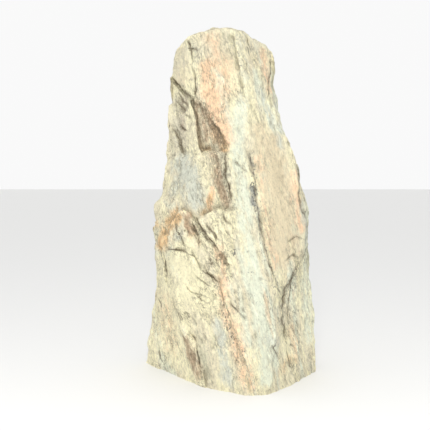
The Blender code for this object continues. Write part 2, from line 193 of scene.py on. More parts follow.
# The crown's top edge as seen from the front: (x, height) in mm.
SKYLINE = [(-134, 764), (-122, 788), (-107, 802), (-92, 798), (-75, 786), (-60, 788), (-50, 799),
           (-40, 804), (24, 804), (38, 800), (52, 794), (76, 787), (92, 778), (106, 758)]
CROWN_SWELL = 3.0  # how quickly the crown rises behind the rim


def bore_circle(ring):
    """A circle on the channel's wall, each point facing the matching point of the ring."""
    turn = np.arctan2(ring[:, 1] - BORE_Y, ring[:, 0] - BORE_X)
    return np.stack([BORE_X + BORE_RADIUS * np.cos(turn), BORE_Y + BORE_RADIUS * np.sin(turn)], axis=-1)


def crown_rings(rim):
    """Rings from the rim to the channel's mouth; the share of the skyline is 1 - (1 - inward)^CROWN_SWELL."""
    inward = np.linspace(0.0, 1.0, CROWN_ROWS + 1)[1:, None]
    flat = rim[None, :, :2] * (1.0 - inward[..., None]) + bore_circle(rim)[None] * inward[..., None]
    across, sky = np.array(SKYLINE, float).T
    rise = 1.0 - (1.0 - inward) ** CROWN_SWELL
    height = rim[None, :, 2] * (1.0 - rise) + np.interp(flat[..., 0], across, sky) * rise
    return np.concatenate([flat, height[..., None]], axis=-1)


def channel_and_foot(rings):
    """Rings down the drilled wall from the mouth, and out across the sawn foot to the first ring."""
    mouth, foot = rings[-1], rings[0]
    down = np.linspace(1.0, 0.0, CHANNEL_ROWS + 1)[1:, None, None]
    wall = mouth[None] * np.array([1.0, 1.0, 0.0]) + mouth[None] * down * np.array([0.0, 0.0, 1.0])
    out = np.linspace(0.0, 1.0, FOOT_ROWS + 2)[1:-1, None, None]
    floor = wall[-1:] * (1.0 - out) + foot[None] * out
    return np.concatenate([rings, wall, floor])


print("channel:", 2 * BORE_RADIUS, "mm across, at x, y =", BORE_X, BORE_Y, "mm")

# %% [markdown]
# ## Worn ridges
# A knife-sharp ridge doesn't last: handling and weather round it by a few millimetres. Moving each point
# halfway to the middle of its neighbours, again and again, does the same to a mesh. The number of passes
# follows from the rounding that is wanted and the size of a mesh cell.

# %% Worn ridges and normals
RIDGE_ROUNDING = 4.5  # mm
MESH_CELL = 3.0  # mm, the usual size of a mesh cell


def worn(rings, passes):
    """Each point moves halfway to the middle of its neighbours, first round the ring, then up the column."""
    rings = rings.copy()
    for _ in range(passes):
        ring_mean = 0.5 * (np.roll(rings, 1, axis=1) + np.roll(rings, -1, axis=1))
        rings[:-1] = 0.5 * (rings + ring_mean)[:-1]
        column_mean = 0.5 * (rings[:-2] + rings[2:])
        rings[1:-1] = 0.5 * (rings[1:-1] + column_mean)
    return rings


def normals(rings):
    """Unit normals pointing out of the stone: the cross product of the way round and the way up."""
    along = np.roll(rings, -1, axis=1) - np.roll(rings, 1, axis=1)
    up = np.gradient(rings, axis=0)
    normal = np.cross(along, up)
    return normal / np.maximum(np.linalg.norm(normal, axis=-1, keepdims=True), 1e-9)


wear_passes = round(2.0 * (RIDGE_ROUNDING / MESH_CELL) ** 2)
block = worn(np.concatenate([body_rings, crown_rings(body_rings[-1])]), wear_passes)
outward = normals(block)
print("worn in", wear_passes, "passes; width now", round(float(np.ptp(block[..., 0])), 1), "mm")

# %% [markdown]
# ## Layers
# The marble is layered like a leaning stack of boards, and everything follows the layers: the splinters,
# the streaks and the colours. So each point is also measured across the layers, into the block and along
# them. Noise with small cells across and long cells along then gives splinters by itself. Swell is the slow
# unevenness of the faces, and chips are shell-shaped bowls that hammer blows left.

# %% Layers
LAYER_LEAN = 0.22  # mm across for each mm up
LAYER_DIP = 0.30  # mm across for each mm into the block


def in_layers(points, lean=LAYER_LEAN):
    """The points measured across the marble's layers, into the block, and along the layers."""
    x, y, z = np.moveaxis(points, -1, 0)
    return np.stack([x + lean * z + LAYER_DIP * y, y, z - lean * x], axis=-1)


print("the layers reach", round(float(np.ptp(in_layers(block)[..., 0]))), "mm across the block")

# %% Swell and chips
SWELL = 6.0  # mm
SWELL_CELL = (120.0, 120.0, 260.0)  # mm
SWELL_SEED = 3
CHIPS = 60
CHIP_SEED = 12
CHIP_RADII = (12.0, 34.0)  # mm
CHIP_DEPTH = 0.16  # of its radius
CHIP_STRETCH = (1.0, 1.0, 0.6)  # heights count less, so a chip is taller than it is wide
CHIP_FREE = 0.02  # share of the height without chips at the foot, and again at the rim
FOOT_LEVEL = 1.0  # mm; points lower than this move only sideways


def chip_places():
    """Centres and radii of the chips, spread at random over the block."""
    draw = np.random.default_rng(CHIP_SEED)
    turns = draw.random(CHIPS) * len(RIDGES)
    rises = draw.random(CHIPS) * (1.0 - 2.0 * CHIP_FREE) + CHIP_FREE
    radii = CHIP_RADII[0] + (CHIP_RADII[1] - CHIP_RADII[0]) * draw.random(CHIPS) ** 2
    centres = [ridge_points(np.array([turn]), np.array([rise]))[0, 0] for turn, rise in zip(turns, rises)]
    return zip(centres, radii)


def chipped(rings):
    """Depth of the chips: a bowl that falls off with the square of the distance, the deepest one counting."""
    depth = np.zeros(rings.shape[:-1])
    for centre, radius in chip_places():
        away = np.linalg.norm((rings - centre) * CHIP_STRETCH, axis=-1)
        depth = np.maximum(depth, CHIP_DEPTH * radius * np.clip(1.0 - (away / radius) ** 2, 0.0, 1.0))
    return depth


def pushed(rings, outward, amount):
    """Move points along their normals, but keep the foot ring level and fade out at the channel's mouth."""
    sideways = np.where(rings[..., 2:] > FOOT_LEVEL, outward, outward * (1.0, 1.0, 0.0))
    from_bore = np.hypot(rings[..., 0] - BORE_X, rings[..., 1] - BORE_Y)
    fade = ease(from_bore, BORE_RADIUS + 1.0, 2.0 * BORE_RADIUS)
    return rings + sideways * (amount * fade)[..., None]


uneven = SWELL * rough(in_layers(block), SWELL_CELL, SWELL_SEED, 3) - chipped(block)
swollen = pushed(block, outward, uneven)
print("swell and chips move the faces by", np.round([uneven.min(), uneven.max()], 1), "mm")

# %% [markdown]
# ## Breaks and hollows
# A break is a line where a layer has split off: the face drops on one side of it and climbs back over a
# reach. A hollow is an outline inside which a wedge of stone has come away. They could be cut with Booleans,
# but steps this shallow are easier to control as depths: each one is a distance to a line drawn on one side
# of the stone, turned into a depth and carved straight into that side. A line's points are (across, up), and
# across runs from left to right as one looks at that side.

# %% Breaks
# The way each side faces: (x, y).
SIDES = {"front": (0.0, -1.0), "left": (-1.0, 0.0), "back": (0.0, 1.0), "right": (1.0, 0.0)}
# (drop, reach, line), in mm; the face drops on the right-hand side of the line.
BREAKS = {
    "front": {
        "upper left seam": (6, 40, [(-100, 790), (-87, 756), (-81, 727), (-79, 682), (-77, 645)]),
        "upper left facet": (9, 55, [(-137, 701), (-119, 677), (-104, 660), (-88, 640)]),
        "deep wall": (18, 66, [(-64, 516), (-71, 566), (-78, 602), (-88, 646)]),
        "peach edge": (5, 50, [(-80, 656), (-71, 642), (-55, 618), (-37, 587), (-18, 550), (-4, 520)]),
        "sill": (6, 40, [(-6, 530), (-38, 526), (-68, 530)]),
        "shoulder": (12, 62, [(14, 392), (-22, 400), (-44, 390), (-75, 365), (-89, 383), (-107, 391),
                              (-119, 386), (-132, 362), (-150, 330), (-170, 296)]),
        "main crack step": (7, 30, [(-76, 376), (-65, 355), (-40, 317), (-18, 291), (5, 247)]),
        "smooth facet": (5, 50, [(-18, 221), (-26, 239), (-51, 254), (-73, 271), (-89, 294), (-118, 302)]),
        "slab side": (10, 60, [(120, 98), (118, 192), (139, 235), (158, 256), (172, 274), (184, 313),
                               (180, 348), (163, 400), (160, 468), (166, 487), (156, 512), (138, 548),
                               (118, 580)]),
        "slab edge": (3, 36, [(118, 202), (102, 236), (82, 276), (65, 350), (54, 437), (37, 524)]),
        "top crease": (7, 36, [(5, 786), (13, 732), (26, 678), (37, 632)]),
        "right leaf": (9, 34, [(90, 615), (87, 685), (94, 711), (84, 762)]),
        "left fold": (4, 34, [(-101, 508), (-117, 542), (-125, 562), (-146, 590)]),
        "left column": (9, 36, [(-138, 212), (-145, 260), (-158, 308)]),
        "foot hollow": (8, 42, [(-50, -4), (-64, 44), (-77, 94), (-93, 119)]),
        "belly": (5, 46, [(-8, 300), (-18, 231), (-11, 171), (13, 120), (27, 76), (46, 2)]),
    },
    "left": {
        "left side layer": (12, 70, [(-118, -4), (-98, 150), (-104, 290), (-82, 410), (-88, 520)]),
        "left side ledge": (13, 70, [(-8, 398), (-42, 352), (-84, 338), (-122, 300)]),
        "left top ledge": (9, 60, [(10, 610), (-30, 640), (-80, 628)]),
    },
    "back": {
        "back layer": (13, 80, [(-92, -4), (-58, 180), (-70, 360), (-30, 560), (-22, 700)]),
        "back ledge": (15, 85, [(122, 322), (64, 268), (12, 280), (-52, 236)]),
        "back top ledge": (10, 60, [(86, 600), (40, 548), (-4, 566)]),
        "back foot ledge": (10, 55, [(-60, 92), (-10, 118), (60, 84), (120, 96)]),
    },
    "right": {
        "right side layer": (11, 55, [(34, -4), (48, 130), (30, 260), (52, 400), (40, 520)]),
        "right side ledge": (12, 60, [(112, 352), (62, 300), (14, 318)]),
        "right top ledge": (9, 50, [(78, 610), (40, 560), (6, 578)]),
    },
}


def on(side, table):
    """The rows of a table that lie on one side of the stone."""
    return table.get(side, {}).values()


def counts(table):
    """How many rows a table has for each side."""
    return {side: len(on(side, table)) for side in SIDES}


print("breaks:", counts(BREAKS))

# %% Hollows
# (depth, bank width, outline), in mm.
HOLLOWS = {
    "back": {
        "back scoop": (14, 30, [(20, 500), (84, 470), (96, 392), (52, 352), (10, 400)]),
        "back furrow": (13, 14, [(-86, 60), (-62, 66), (-40, 190), (-52, 300), (-66, 300), (-66, 180)]),
    },
    "left": {
        "left scoop": (10, 26, [(-96, 250), (-48, 262), (-34, 190), (-62, 120), (-98, 150)]),
    },
    "right": {
        "right scoop": (9, 22, [(20, 250), (58, 240), (74, 160), (40, 110), (16, 170)]),
    },
}
print("hollows:", counts(HOLLOWS))

# %% [markdown]
# ## Furrows and cracks
# A furrow is a wide groove and a crack a narrow one, where the stone began to part but held. Both are lines
# with a depth, which falls off to either side as a bell curve does. The cracks are cut into the mesh as well
# as coloured, because only a real groove has a dark side and a lit side. A bulge is the same thing turned
# round: a low, wide swelling along a line.

# %% Furrows
# (depth, half width, line), in mm.
FURROWS = {
    "front": {
        "slot": (6, 17, [(-32, 518), (-25, 476), (-18, 437), (-10, 408)]),
        "furrow": (3, 9, [(182, 308), (156, 261), (132, 222), (119, 180)]),
        "foot furrow": (9, 13, [(-103, 103), (-80, 87), (-73, 61), (-55, 8)]),
        "shoulder pocket": (6, 12, [(-134, 378), (-119, 350)]),
        "left column": (6, 8, [(-165, 305), (-156, 278), (-148, 247)]),
    },
}
print("furrows:", counts(FURROWS))

# %% Cracks
# (depth, half width, line), in mm.
CRACKS = {
    "front": {
        "left furrow": (3, 6, [(-137, 600), (-127, 582), (-115, 552), (-106, 520)]),
        "peach groove": (2, 6, [(-76, 637), (-58, 619), (-40, 587), (-22, 559), (-5, 533)]),
        "seam": (6, 3, [(-96, 778), (-87, 756), (-81, 727), (-79, 682), (-78, 642)]),
        "facet crack": (9, 4, [(-136, 700), (-119, 677), (-104, 660), (-90, 642), (-83, 625), (-78, 598),
                               (-73, 566), (-67, 526)]),
        "main crack": (7, 3, [(-74, 374), (-65, 355), (-51, 336), (-29, 304), (-18, 291), (-3, 264),
                              (5, 249)]),
        "sheet crack": (5, 3, [(-140, 304), (-118, 302), (-102, 298), (-79, 284), (-64, 261), (-40, 250),
                               (-24, 232)]),
        "brown stripe": (5, 3, [(-82, 366), (-75, 345), (-71, 322), (-69, 296)]),
        "short crack": (4, 3, [(-123, 366), (-114, 340), (-106, 322), (-100, 306)]),
        "notch line": (4, 3, [(-170, 303), (-158, 297), (-150, 296)]),
        "crest crack": (5, 3, [(-20, 389), (-9, 372), (0, 365)]),
        "bottom of the recess": (6, 4, [(-68, 530), (-51, 530), (-40, 532)]),
        "furrow crack": (4, 3, [(184, 306), (155, 264), (143, 237), (126, 214), (118, 185), (118, 131),
                                (125, 100), (127, 82), (137, 38)]),
        "second furrow": (3, 3, [(139, 230), (134, 181), (132, 144), (132, 119)]),
        "foot hollow edge": (6, 3, [(-92, 116), (-78, 106), (-66, 60), (-63, 14)]),
        "slab side crack": (7, 4, [(127, 548), (158, 510), (162, 477), (157, 413), (174, 362), (184, 313)]),
        "slab fold": (4, 4, [(129, 321), (148, 331), (168, 321)]),
        "low slab fold": (3, 3, [(124, 282), (143, 291), (158, 284)]),
        "low left crack": (5, 3, [(-173, 194), (-161, 170), (-152, 143)]),
        "inner left crack": (4, 3, [(-117, 169), (-112, 148), (-108, 131)]),
        "foot left crack": (4, 3, [(-169, 56), (-164, 33), (-156, 16)]),
        "fold crack": (5, 3, [(-126, 603), (-113, 583), (-95, 567)]),
        "upper fold crack": (3, 3, [(-130, 646), (-109, 620), (-90, 595)]),
        "slot crack": (4, 3, [(-15, 520), (-11, 490), (-5, 452), (3, 406)]),
        "top crease line": (2, 3, [(7, 766), (13, 732), (20, 705), (29, 665), (27, 642)]),
        "cap crease": (4, 4, [(38, 784), (42, 765), (48, 745)]),
        "shoulder lip": (3, 4, [(-44, 790), (-51, 765), (-66, 750), (-92, 756)]),
        "leaf line": (4, 3, [(82, 766), (94, 736), (96, 707), (86, 670), (86, 638)]),
        "wedge line": (4, 3, [(-52, 366), (-37, 344), (-33, 320)]),
        "line below it": (4, 3, [(-62, 314), (-48, 292), (-36, 268)]),
        "sheet line": (5, 3, [(-56, 274), (-46, 256), (-34, 234)]),
        "lower sheet crack": (3, 3, [(-76, 252), (-60, 240), (-38, 224)]),
        "fold line": (3, 3, [(-96, 230), (-84, 214), (-58, 204)]),
        "lower fold line": (3, 3, [(-72, 206), (-64, 194), (-44, 186)]),
        "column line": (5, 3, [(-151, 300), (-143, 264), (-136, 236)]),
        "thin column line": (4, 3, [(-157, 298), (-154, 272), (-145, 254)]),
        "slanting line": (3, 3, [(-126, 672), (-113, 645), (-100, 624)]),
        "lower slanting line": (2.5, 3, [(-138, 582), (-118, 552), (-110, 534), (-104, 516)]),
        "mint scratch": (3, 3, [(8, 502), (22, 485), (40, 472)]),
        "belly line": (4, 3, [(0, 196), (18, 172), (40, 158)]),
        "slab edge line": (3, 3, [(44, 514), (50, 480), (55, 437), (60, 392), (67, 350), (83, 276),
                                  (98, 242), (112, 212)]),
        "dark vein": (2, 4, [(-22, 225), (-5, 170), (8, 139), (18, 99), (31, 65), (46, 19)]),
        "foot right crack": (4, 3, [(104, 118), (91, 99), (104, 67)]),
    },
    "left": {
        "left side crack": (7, 4, [(-70, 30), (-56, 150), (-66, 250), (-40, 330)]),
        "left top crack": (6, 4, [(-52, 690), (-40, 590), (-58, 500), (-44, 440)]),
    },
    "back": {
        "back crack": (8, 4, [(70, 20), (52, 130), (66, 230), (48, 262)]),
        "back top crack": (7, 4, [(30, 740), (44, 640), (30, 560)]),
    },
    "right": {
        "right side crack": (7, 4, [(88, 20), (70, 140), (84, 260), (70, 350)]),
        "right top crack": (6, 4, [(36, 700), (46, 620), (32, 540)]),
    },
}
print("cracks:", counts(CRACKS))

# %% Bulges
# (height, half width, line), in mm.
BULGES = {
    "front": {
        "belly": (7, 30, [(24, 150), (42, 107), (60, 50)]),
        "left belly": (5, 24, [(-36, 170), (-26, 105)]),
        "low left": (5, 30, [(-122, 192), (-96, 180)]),
        "shoulder": (5, 24, [(-60, 345), (-20, 350)]),
        "beside the slot": (5, 18, [(24, 520), (30, 440)]),
    },
    "back": {
        "back": (8, 50, [(40, 200), (30, 90)]),
    },
    "left": {
        "left": (6, 40, [(40, 300), (30, 180)]),
    },
    "right": {
        "right": (6, 30, [(-20, 420), (-10, 250)]),
    },
}
print("bulges:", counts(BULGES))

# %% [markdown]
# ## Distance to a line
# Carving needs two measures on a side of the stone. One is the distance to a line of straight pieces, with a
# sign that says which hand the point lies on. The other is how far a point lies inside an outline, which
# comes from the same distance and an even-odd count of the outline's crossings.

# %% Distance to a line
FADE = 22.0  # mm, over which a break or a crack runs out at its ends
OUTSIDE = 0.3  # share of a fade that lies outside its edge


def beside(across, up, line):
    """Signed distance to the nearest piece of a line, plus on its right, how far along, and its length."""
    nearest = np.full(across.shape, np.inf)
    signed = np.zeros(across.shape)
    along = np.zeros(across.shape)
    start = 0.0
    for (x0, z0), (x1, z1) in zip(line[:-1], line[1:]):
        length = math.hypot(x1 - x0, z1 - z0)
        ux, uz = (x1 - x0) / length, (z1 - z0) / length
        run = (across - x0) * ux + (up - z0) * uz
        held = np.clip(run, 0.0, length)
        distance = np.hypot(across - x0 - held * ux, up - z0 - held * uz)
        closer = distance < nearest
        nearest = np.where(closer, distance, nearest)
        signed = np.where(closer, distance * np.sign((across - x0) * uz - (up - z0) * ux), signed)
        along = np.where(closer, start + run, along)
        start += length
    return signed, along, start


def faded(inward, width):
    """0 outside an edge and 1 inside it, with a smooth fade of this width; inward is the distance in."""
    return ease(inward, -OUTSIDE * width, (1.0 - OUTSIDE) * width)


def runs_out(along, length):
    """1 along a line and 0 past its ends, with a smooth fade."""
    return faded(along, FADE) * faded(length - along, FADE)


def inside_outline(across, up, outline):
    """Distance in from a closed outline, negative outside it."""
    signed, _, _ = beside(across, up, outline + outline[:1])
    inside = np.zeros(across.shape, bool)
    for (x0, z0), (x1, z1) in zip(outline, outline[1:] + outline[:1]):
        if z0 != z1:
            crossing = x0 + (up - z0) * (x1 - x0) / (z1 - z0)
            inside ^= ((z0 > up) != (z1 > up)) & (across < crossing)
    return np.where(inside, np.abs(signed), -np.abs(signed))


square = [(0, 0), (10, 0), (10, 10), (0, 10)]
middle_of_square = np.array([5.0])
print("the middle of a 10 mm square lies",
      inside_outline(middle_of_square, middle_of_square, square)[0], "mm in")

# %% [markdown]
# ## Carving
# Each side is looked at straight on, as if the tables were drawn on a sheet of glass in front of it, and a
# point takes part in a side by how much it faces it. No break in real stone is straight, so the places are
# led a little astray by noise before the lines are measured.

# %% The four sides
WANDER = 6.5  # mm, how far a break strays from its line
WANDER_CELL = 40.0  # mm, the length over which it strays
WANDER_SEED = 11
FACING = (-0.05, 0.3)  # how much of a normal points at a side: up to the first none of it counts


def astray(points, cell, seed, far):
    """How far places are led astray, across and up: two sets of rough hills, this many mm high."""
    return far * np.stack([rough(points, cell, seed, 4), rough(points, cell, seed + 6, 4)], axis=-1)


def side_view(rings, outward, stray):
    """For each side: its name and direction, the places across and up, and how much each point faces it."""
    view = []
    for side, (way_x, way_y) in SIDES.items():
        way = np.array([way_x, way_y, 0.0])
        across = -way_y * rings[..., 0] + way_x * rings[..., 1] + stray[..., 0]
        view.append((side, way, across, rings[..., 2] + stray[..., 1], ease(outward @ way, *FACING)))
    return view


carving_view = side_view(swollen, outward, astray(swollen, WANDER_CELL, WANDER_SEED, WANDER))
facing_shares = {side: round(float(facing.mean()), 2) for side, _, _, _, facing in carving_view}
print("share of the grid that faces each side:", facing_shares)

# %% Carve the four sides
BREAK_FACE = 5.0  # mm, how wide the broken face of a step is
PATCHINESS = 30.0  # mm, the length over which a crack closes and opens
PATCH_SEED = 19
LEAST_OPEN = 0.35
CLOSED_TO_OPEN = (-0.5, 0.3)  # the noise at which a crack is least open, and fully open


def openness(points):
    """How far the cracks are open at each point: hills of noise, eased from a third to fully open."""
    return LEAST_OPEN + (1.0 - LEAST_OPEN) * ease(noise(points, PATCHINESS, PATCH_SEED), *CLOSED_TO_OPEN)


def carved_depth(side, across, up, gape):
    """How deep the breaks, hollows, furrows and cracks of one side go at each point, in mm."""
    depth = np.zeros(across.shape)
    for drop, reach, line in on(side, BREAKS):
        distance, along, length = beside(across, up, line)
        fall = ease(distance, -0.5 * BREAK_FACE, 0.5 * BREAK_FACE)
        climb = np.clip(1.0 - distance / reach, 0.0, 1.0)
        depth += drop * fall * climb * runs_out(along, length)
    for deep, bank, outline in on(side, HOLLOWS):
        depth += deep * faded(inside_outline(across, up, outline), bank)
    for deep, half, line in [*on(side, FURROWS), *on(side, CRACKS)]:
        distance, along, length = beside(across, up, line)
        depth += deep * gape * np.exp(-(distance / half) ** 2) * runs_out(along, length)
    for high, half, line in on(side, BULGES):
        distance, _, _ = beside(across, up, line)
        depth -= high * np.exp(-(distance / half) ** 2)
    return depth


def carve(rings, view, gape):
    """Set the breaks, hollows, furrows and cracks of all four sides into the rings."""
    moved = rings.copy()
    for side, way, across, up, facing in view:
        moved -= (carved_depth(side, across, up, gape) * facing)[..., None] * way
    return moved


gape = openness(swollen)
carved = carve(swollen, carving_view, gape)
print("deepest carving:", round(float(np.linalg.norm(carved - swollen, axis=-1).max()), 1), "mm")

# %% [markdown]
# ## Smooth faces, folded and crumbled ones
# The block isn't equally rough all over. A face that split cleanly along a layer is almost flat. Where the
# layers were torn across they stand in slanting folds, and where they were crushed the edge has crumbled.
# These places are given as strokes, the way a painter would lay them: a line on one side of the stone, a half
# width and a strength. The same strokes serve for the colours later.

# %% How the faces broke
# For each way of breaking and each side: (half width in mm, strength, line).
BROKEN = {
    "smooth": {
        "front": [
            (46, 0.75, [(92, 520), (110, 440), (118, 360), (118, 300)]),
            (26, 0.7, [(-108, 745), (-104, 700)]),
            (30, 0.9, [(-128, 275), (-98, 258), (-78, 244)]),
            (26, 0.8, [(-122, 208), (-92, 188)]),
            (22, 0.5, [(13, 546), (21, 458), (32, 372), (47, 265), (68, 137), (74, 40)]),
            (30, 0.4, [(-30, 760), (-24, 720)]),
            (24, 0.5, [(-30, 60), (-20, 20)]),
            (30, 0.4, [(-96, 470), (-84, 430)]),
        ],
        "back": [(60, 0.6, [(-10, 460), (20, 360)])],
        "left": [(40, 0.5, [(-20, 260), (-10, 160)])],
        "right": [(40, 0.5, [(90, 220), (96, 120)])],
    },
    "folded": {
        "front": [
            (34, 0.9, [(-92, 350), (-60, 320), (-30, 290)]),
            (18, 1.0, [(-88, 226), (-62, 214), (-36, 208)]),
            (26, 0.9, [(-100, 150), (-80, 110)]),
            (34, 0.45, [(-124, 600), (-112, 540)]),
            (34, 0.3, [(-156, 160), (-150, 60)]),
            (26, 0.8, [(140, 310), (150, 280)]),
            (34, 0.5, [(150, 60), (160, 180)]),
        ],
        "back": [(80, 0.8, [(70, 160), (60, 240)])],
        "left": [(50, 0.8, [(20, 340), (0, 220)])],
        "right": [(44, 0.8, [(10, 420), (20, 300)])],
    },
    "crumbled": {
        "front": [
            (15, 1.0, [(-72, 630), (-50, 594), (-30, 562), (-16, 538)]),
            (10, 0.5, [(-60, 534), (-36, 530)]),
            (17, 0.8, [(-34, 518), (-25, 470), (-12, 410)]),
            (16, 0.35, [(-98, 104), (-82, 70), (-66, 20)]),
            (14, 0.4, [(152, 268), (130, 220), (120, 150)]),
            (14, 0.7, [(-60, 340), (-30, 296), (0, 256)]),
            (12, 0.35, [(-160, 330), (-138, 372), (-112, 390)]),
            (8, 0.5, [(-26, 200), (-6, 140), (16, 70)]),
            (13, 0.45, [(146, 256), (138, 210)]),
            (14, 0.4, [(140, 112), (150, 64)]),
            (10, 0.5, [(108, 612), (120, 570)]),
        ],
        "back": [(18, 0.8, [(30, 700), (44, 640), (34, 570)])],
        "left": [(18, 0.8, [(-66, 260), (-50, 330)])],
        "right": [(18, 0.8, [(84, 260), (70, 340)])],
    },
}
print("strokes:", {way: sum(len(rows) for rows in sides.values()) for way, sides in BROKEN.items()})

# %% Strokes
STRAY = 9.0  # mm, how far a stroke strays from its line
STRAY_CELL = 24.0  # mm, the length over which it strays
STRAY_SEED = 51
COVERED = 0.4  # a mask above this counts as covered in what is printed


def stroke_mask(strokes, view):
    """The strongest stroke at each point: strength times a bell curve of the distance over the half width."""
    mask = 0.0
    for side, _, across, up, facing in view:
        for half, strength, line in strokes.get(side, []):
            distance, _, _ = beside(across, up, line)
            mask = np.maximum(mask, strength * facing * np.exp(-(distance / half) ** 2))
    return mask


def covered(mask):
    """Per cent of the grid that a mask covers."""
    return round(100.0 * float((mask > COVERED).mean()))


brush_view = side_view(carved, outward, astray(carved, STRAY_CELL, STRAY_SEED, STRAY))
broken = {name: stroke_mask(strokes, brush_view) for name, strokes in BROKEN.items()}
print("share of the grid, %:", {name: covered(mask) for name, mask in broken.items()})

# %% [markdown]
# ## Splinters
# Where layered stone breaks, the layers end in small steps, long along the layers and short across them.
# Terraces make such steps: noise is cut into levels, flat for most of the way and steep at the end of each.
# Folds are steps that follow a second, steeper lean, and crumbs are steps about as long as they are wide.
# Between them the broken grains leave the surface lumpy.

# %% Terraces and hills
LEVELS = 3
# (height in mm, noise cell in mm, seed, octaves, steep share of a step; 0 for hills without steps)
RELIEF = {
    "coarse layer ends": (4.5, (46.0, 60.0, 190.0), 21, 4, 0.30),
    "fine layer ends": (2.4, (14.0, 22.0, 52.0), 25, 3, 0.35),
    "folds": (6.0, (20.0, 40.0, 110.0), 33, 4, 0.35),
    "crumbs": (5.0, (11.0, 12.0, 17.0), 61, 3, 0.35),
    "lumps": (3.8, (30.0, 30.0, 46.0), 41, 3, 0.0),
    "small lumps": (2.4, (10.0, 10.0, 14.0), 45, 2, 0.0),
}


def terraces(hills, steep):
    """Hills cut into levels: flat, then a steep rise over the last part of each step."""
    level = hills * LEVELS
    return (np.floor(level) + ease(level - np.floor(level), 1.0 - steep, 1.0)) / LEVELS


def relief(kind, place):
    """One row of the table, as heights in mm."""
    height, cell, seed, octaves, steep = RELIEF[kind]
    hills = rough(place, cell, seed, octaves)
    return height * (terraces(hills, steep) if steep else hills)


print("heights, mm:", {kind: row[0] for kind, row in RELIEF.items()})

# %% Splinters and grain
FOLD_LEAN = 0.85  # mm across for each mm up
SMOOTH_STEPS = 0.2  # what is left of the steps on a smooth face
SMOOTH_LUMPS = 0.35  # and of the lumps
FOLDED_ENDS = 0.2  # what is left of the fine layer ends where there are folds


def splinters(rings, smooth, folded, crumbled):
    """Layer ends, folds and crumbs, with lumps between them, in mm; less of them on the smooth faces."""
    place = in_layers(rings)
    fold_place = in_layers(rings, FOLD_LEAN)
    fine = relief("fine layer ends", place) * (1.0 - (1.0 - FOLDED_ENDS) * folded)
    steps = relief("coarse layer ends", place) + fine + relief("folds", fold_place) * folded
    steps = steps * (1.0 - (1.0 - SMOOTH_STEPS) * smooth)
    lumps = relief("lumps", place) + relief("small lumps", place)
    lumps = lumps * (1.0 - (1.0 - SMOOTH_LUMPS) * smooth)
    return steps + lumps + relief("crumbs", fold_place) * crumbled


heights = splinters(carved, **broken)
splintered = pushed(carved, normals(carved), heights)
splintered[0, :, 2] = 0.0
rings = channel_and_foot(splintered)
print("closed grid:", rings.shape[0], "rings,", 2 * rings.shape[0] * rings.shape[1], "triangles")

# %% [markdown]
# ## From rings to a mesh
# The rings close both ways, like a ring doughnut whose hole is the water channel, so each point starts one
# cell. A cell is parted along the diagonal whose ends lie closer together. Then a step that crosses
# the grid at a slant stays a clean line and doesn't turn into saw teeth.

# %% Triangles from a closed grid
def facets(rings):
    """Two triangles for each cell of a grid that closes both ways."""
    index = np.arange(rings.shape[0] * rings.shape[1]).reshape(rings.shape[:2])
    a, d = index, np.roll(index, -1, axis=0)
    b, c = np.roll(a, -1, axis=1), np.roll(d, -1, axis=1)
    flat = rings.reshape(-1, 3)
    first = np.linalg.norm(flat[a] - flat[c], axis=-1) <= np.linalg.norm(flat[b] - flat[d], axis=-1)
    one = np.where(first[..., None], np.stack([a, b, c], -1), np.stack([a, b, d], -1))
    two = np.where(first[..., None], np.stack([a, c, d], -1), np.stack([b, c, d], -1))
    return np.concatenate([one.reshape(-1, 3), two.reshape(-1, 3)])


def triangle_mesh(name, points, triangles):
    """A mesh filled straight from arrays."""
    mesh = bpy.data.meshes.new(name)
    mesh.vertices.add(len(points))
    mesh.vertices.foreach_set("co", points.astype(np.float32).ravel())
    mesh.loops.add(triangles.size)
    mesh.loops.foreach_set("vertex_index", triangles.astype(np.int32).ravel())
    mesh.polygons.add(len(triangles))
    mesh.polygons.foreach_set("loop_start", np.arange(0, triangles.size, 3, dtype=np.int32))
    mesh.update(calc_edges=True)
    mesh.validate()
    return mesh


print("3 rings of 4 points, closed both ways:", len(facets(np.zeros((3, 4, 3)))), "triangles")

# %% Build the stone
SHARP_ANGLE = 50.0  # degrees; a fold sharper than this keeps a hard edge
MIDDLE = np.array([0.29, 3.13, 0.0])  # mm, where the middle of the block's box lies among the ridges
points = (rings.reshape(-1, 3) - MIDDLE) * MM
stone_mesh = triangle_mesh("marble_stone", points, facets(rings))
stone_mesh.polygons.foreach_set("use_smooth", np.ones(len(stone_mesh.polygons), bool))
stone_mesh.set_sharp_from_angle(angle=math.radians(SHARP_ANGLE))
stone = bpy.data.objects.new("marble_stone", stone_mesh)
bpy.context.scene.collection.objects.link(stone)
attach(stone, "root")
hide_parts(STONE)
print("stone:", len(stone_mesh.polygons), "triangles,", np.round(np.ptp(points, axis=0), 4), "m")

# %% [markdown]
# ## Hollows and edges
# Rain carries dirt into the hollows, and the material also paints shade into them and a highlight onto the
# edges. To know which is which, the rings are smoothed, and each point is compared with its smoothed place:
# a point that lies below it is in a hollow. A few passes find the cracks, and many passes find the broad
# hollows. The result is kept on the mesh as attributes, which the material reads.

# %% Hollow and edge masks
CREVICE_PASSES = 3
HOLLOW_PASSES = 40
FULL_CREVICE = 1.4  # mm below the smoothed surface
FULL_HOLLOW = 3.0  # mm


def below_neighbours(rings, outward, passes):
    """How far each point lies below the smoothed surface, in mm; negative on an edge."""
    return ((worn(rings, passes) - rings) * outward).sum(axis=-1)


def store(mesh, name, values):
    """Keep one number for each point of the mesh, under a name that a material can read."""
    attribute = mesh.attributes.new(name, "FLOAT", "POINT")
    attribute.data.foreach_set("value", values.astype(np.float32).ravel())


rest_rings = rings.shape[0] - splintered.shape[0]


def for_all_rings(mask):
    """A mask on the outside, with nothing on the rings of the channel and the foot."""
    return np.concatenate([mask, np.zeros((rest_rings, COLUMNS))])


